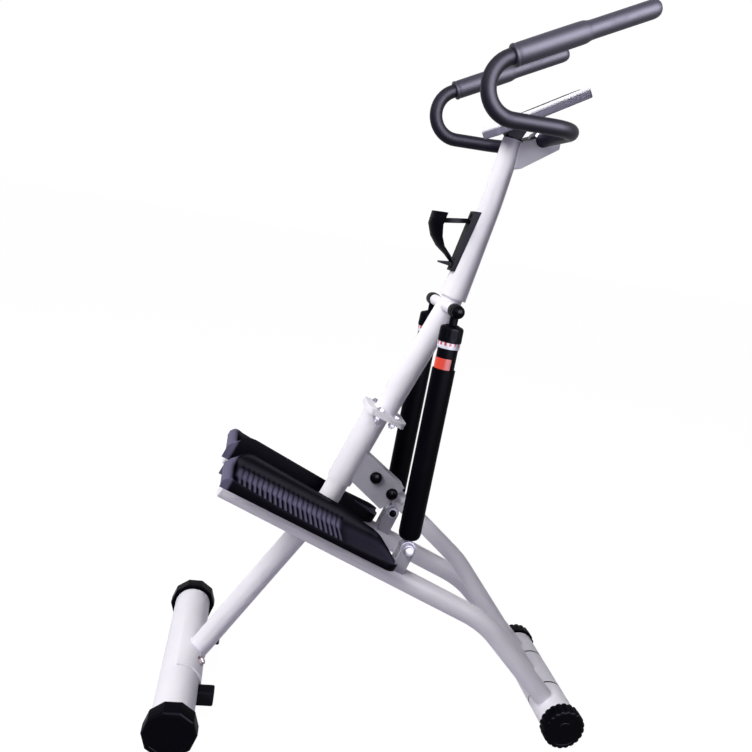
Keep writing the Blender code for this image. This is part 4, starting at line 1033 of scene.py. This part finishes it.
def addCageScrews():
    face = math.radians(cageScrew["faceAngle"])
    out = Vector((math.cos(face), 0, math.sin(face)))
    for name, place in cageScrew["places"].items():
        addPiece("cage_screw_" + name, dome(*cageScrew["dome"], 32), black, "stand",
                 axes(spot(place), (0, 1, 0), out))


addCageScrews()
print("cage screws made")

# Stage, lamps and camera
stage = {"floor": (0.36, 0.34, 0.40), "roughness": 0.9, "specular": 0.1, "shadow": 0.20, "glow": 1.22,
         "half": 40.0, "thick": 0.02, "room": (0.86, 0.83, 1.0), "worldLight": 0.15}
lamps = {
    # place, aim, size, watts, whether matt surfaces are lit too
    "keyLamp": ((-2.15, -1.3, 2.5), (0.0, 0.0, 1.05), (1.6, 2.0), 94.0, True),
    "frontLamp": ((-0.5, -1.2, 2.5), (0.14, 0.0, 1.2), (0.8, 0.6), 7.0, True),
    "topLamp": ((-0.2, 0.4, 3.2), (0.0, 0.0, 0.5), (2.0, 2.0), 14.0, True),
    "backLamp": ((-1.6, 2.2, 1.5), (0.0, 0.0, 0.7), (1.2, 1.8), 10.0, True),
    "sheenLamp": ((0.95, -2.2, 1.75), (0.1, -0.1, 1.2), (3.0, 2.0), 1200.0, False),
}
# focal length and width of the picture in its pixels
view = {"place": (0.0389, 0.9264), "side": -1.3518, "sensor": 36.0, "focal": 750.0, "picture": 752.0,
        "right": (0.97567, -0.14345, 0.16579), "up": (-0.13189, 0.22000, 0.96654),
        "forward": (0.17512, 0.96490, -0.19572)}


def cameraShare(graph):  # 1 where the camera, a mirror or glass sees the surface
    camera, glossy, clear = (graph.node("LightPath", output=f"Is {kind} Ray")
                             for kind in ("Camera", "Glossy", "Transmission"))
    return camera.maths("MAXIMUM", camera.maths("MAXIMUM", camera, glossy), clear)


def addFloor():
    half = stage["half"]
    corners = ((-half, -half), (half, -half), (half, half), (-half, half))
    floor = solid("floor", loft([[(x, y, z) for x, y in corners] for z in (-stage["thick"], 0.0)]))
    made = Finish("pale_floor", stage["floor"], Roughness=stage["roughness"],
                  Specular_IOR_Level=stage["specular"])
    matt = Wire(made, made.shader.outputs[0])
    glow = made.node("Emission", None, {"Strength": stage["glow"]})
    seen = cameraShare(made) * (1.0 - stage["shadow"])
    surface = made.node("MixShader", None, {0: seen, 1: matt, 2: glow})
    made.join(surface, made.tree.nodes["Material Output"].inputs[0])
    floor.data.materials.append(made.material)


def addWorld():
    world = bpy.data.worlds.new("studio")
    bpy.context.scene.world = world
    world.use_nodes = True
    graph = Graph(world.node_tree)
    room = graph.tree.nodes["Background"]
    graph.join((*stage["room"], 1.0), room.inputs[0])
    graph.join(stage["worldLight"], room.inputs[1])
    blank = graph.node("Background", None, {0: (1.0, 1.0, 1.0, 1.0)})
    sockets = {0: cameraShare(graph), 1: Wire(graph, room.outputs[0]), 2: blank}
    sky = graph.node("MixShader", None, sockets)
    graph.join(sky, graph.tree.nodes["World Output"].inputs[0])


def addLamps():
    for name, (place, aim, size, watts, matt) in lamps.items():
        lamp = bpy.data.lights.new(name, "AREA")
        lamp.shape = "RECTANGLE"
        lamp.size, lamp.size_y = size
        lamp.energy = watts
        if not matt:
            lamp.color = stage["room"]
        holder = placed(name, lamp)
        holder.location = place
        holder.visible_diffuse = matt
        holder.rotation_euler = (Vector(aim) - Vector(place)).to_track_quat("-Z", "Y").to_euler()


def addCamera():
    camera = bpy.data.cameras.new("photoView")
    camera.sensor_width = view["sensor"]
    camera.lens = view["sensor"] * view["focal"] / view["picture"]
    holder = placed("photoView", camera)
    turn = Matrix((view["right"], view["up"], [-value for value in view["forward"]])).transposed()
    holder.matrix_world = Matrix.Translation(spot(view["place"], view["side"])) @ turn.to_4x4()
    bpy.context.scene.camera = holder


addFloor()
addWorld()
addLamps()
addCamera()
bpy.context.scene.view_settings.view_transform = "Standard"
print("stage, lamps and camera placed")
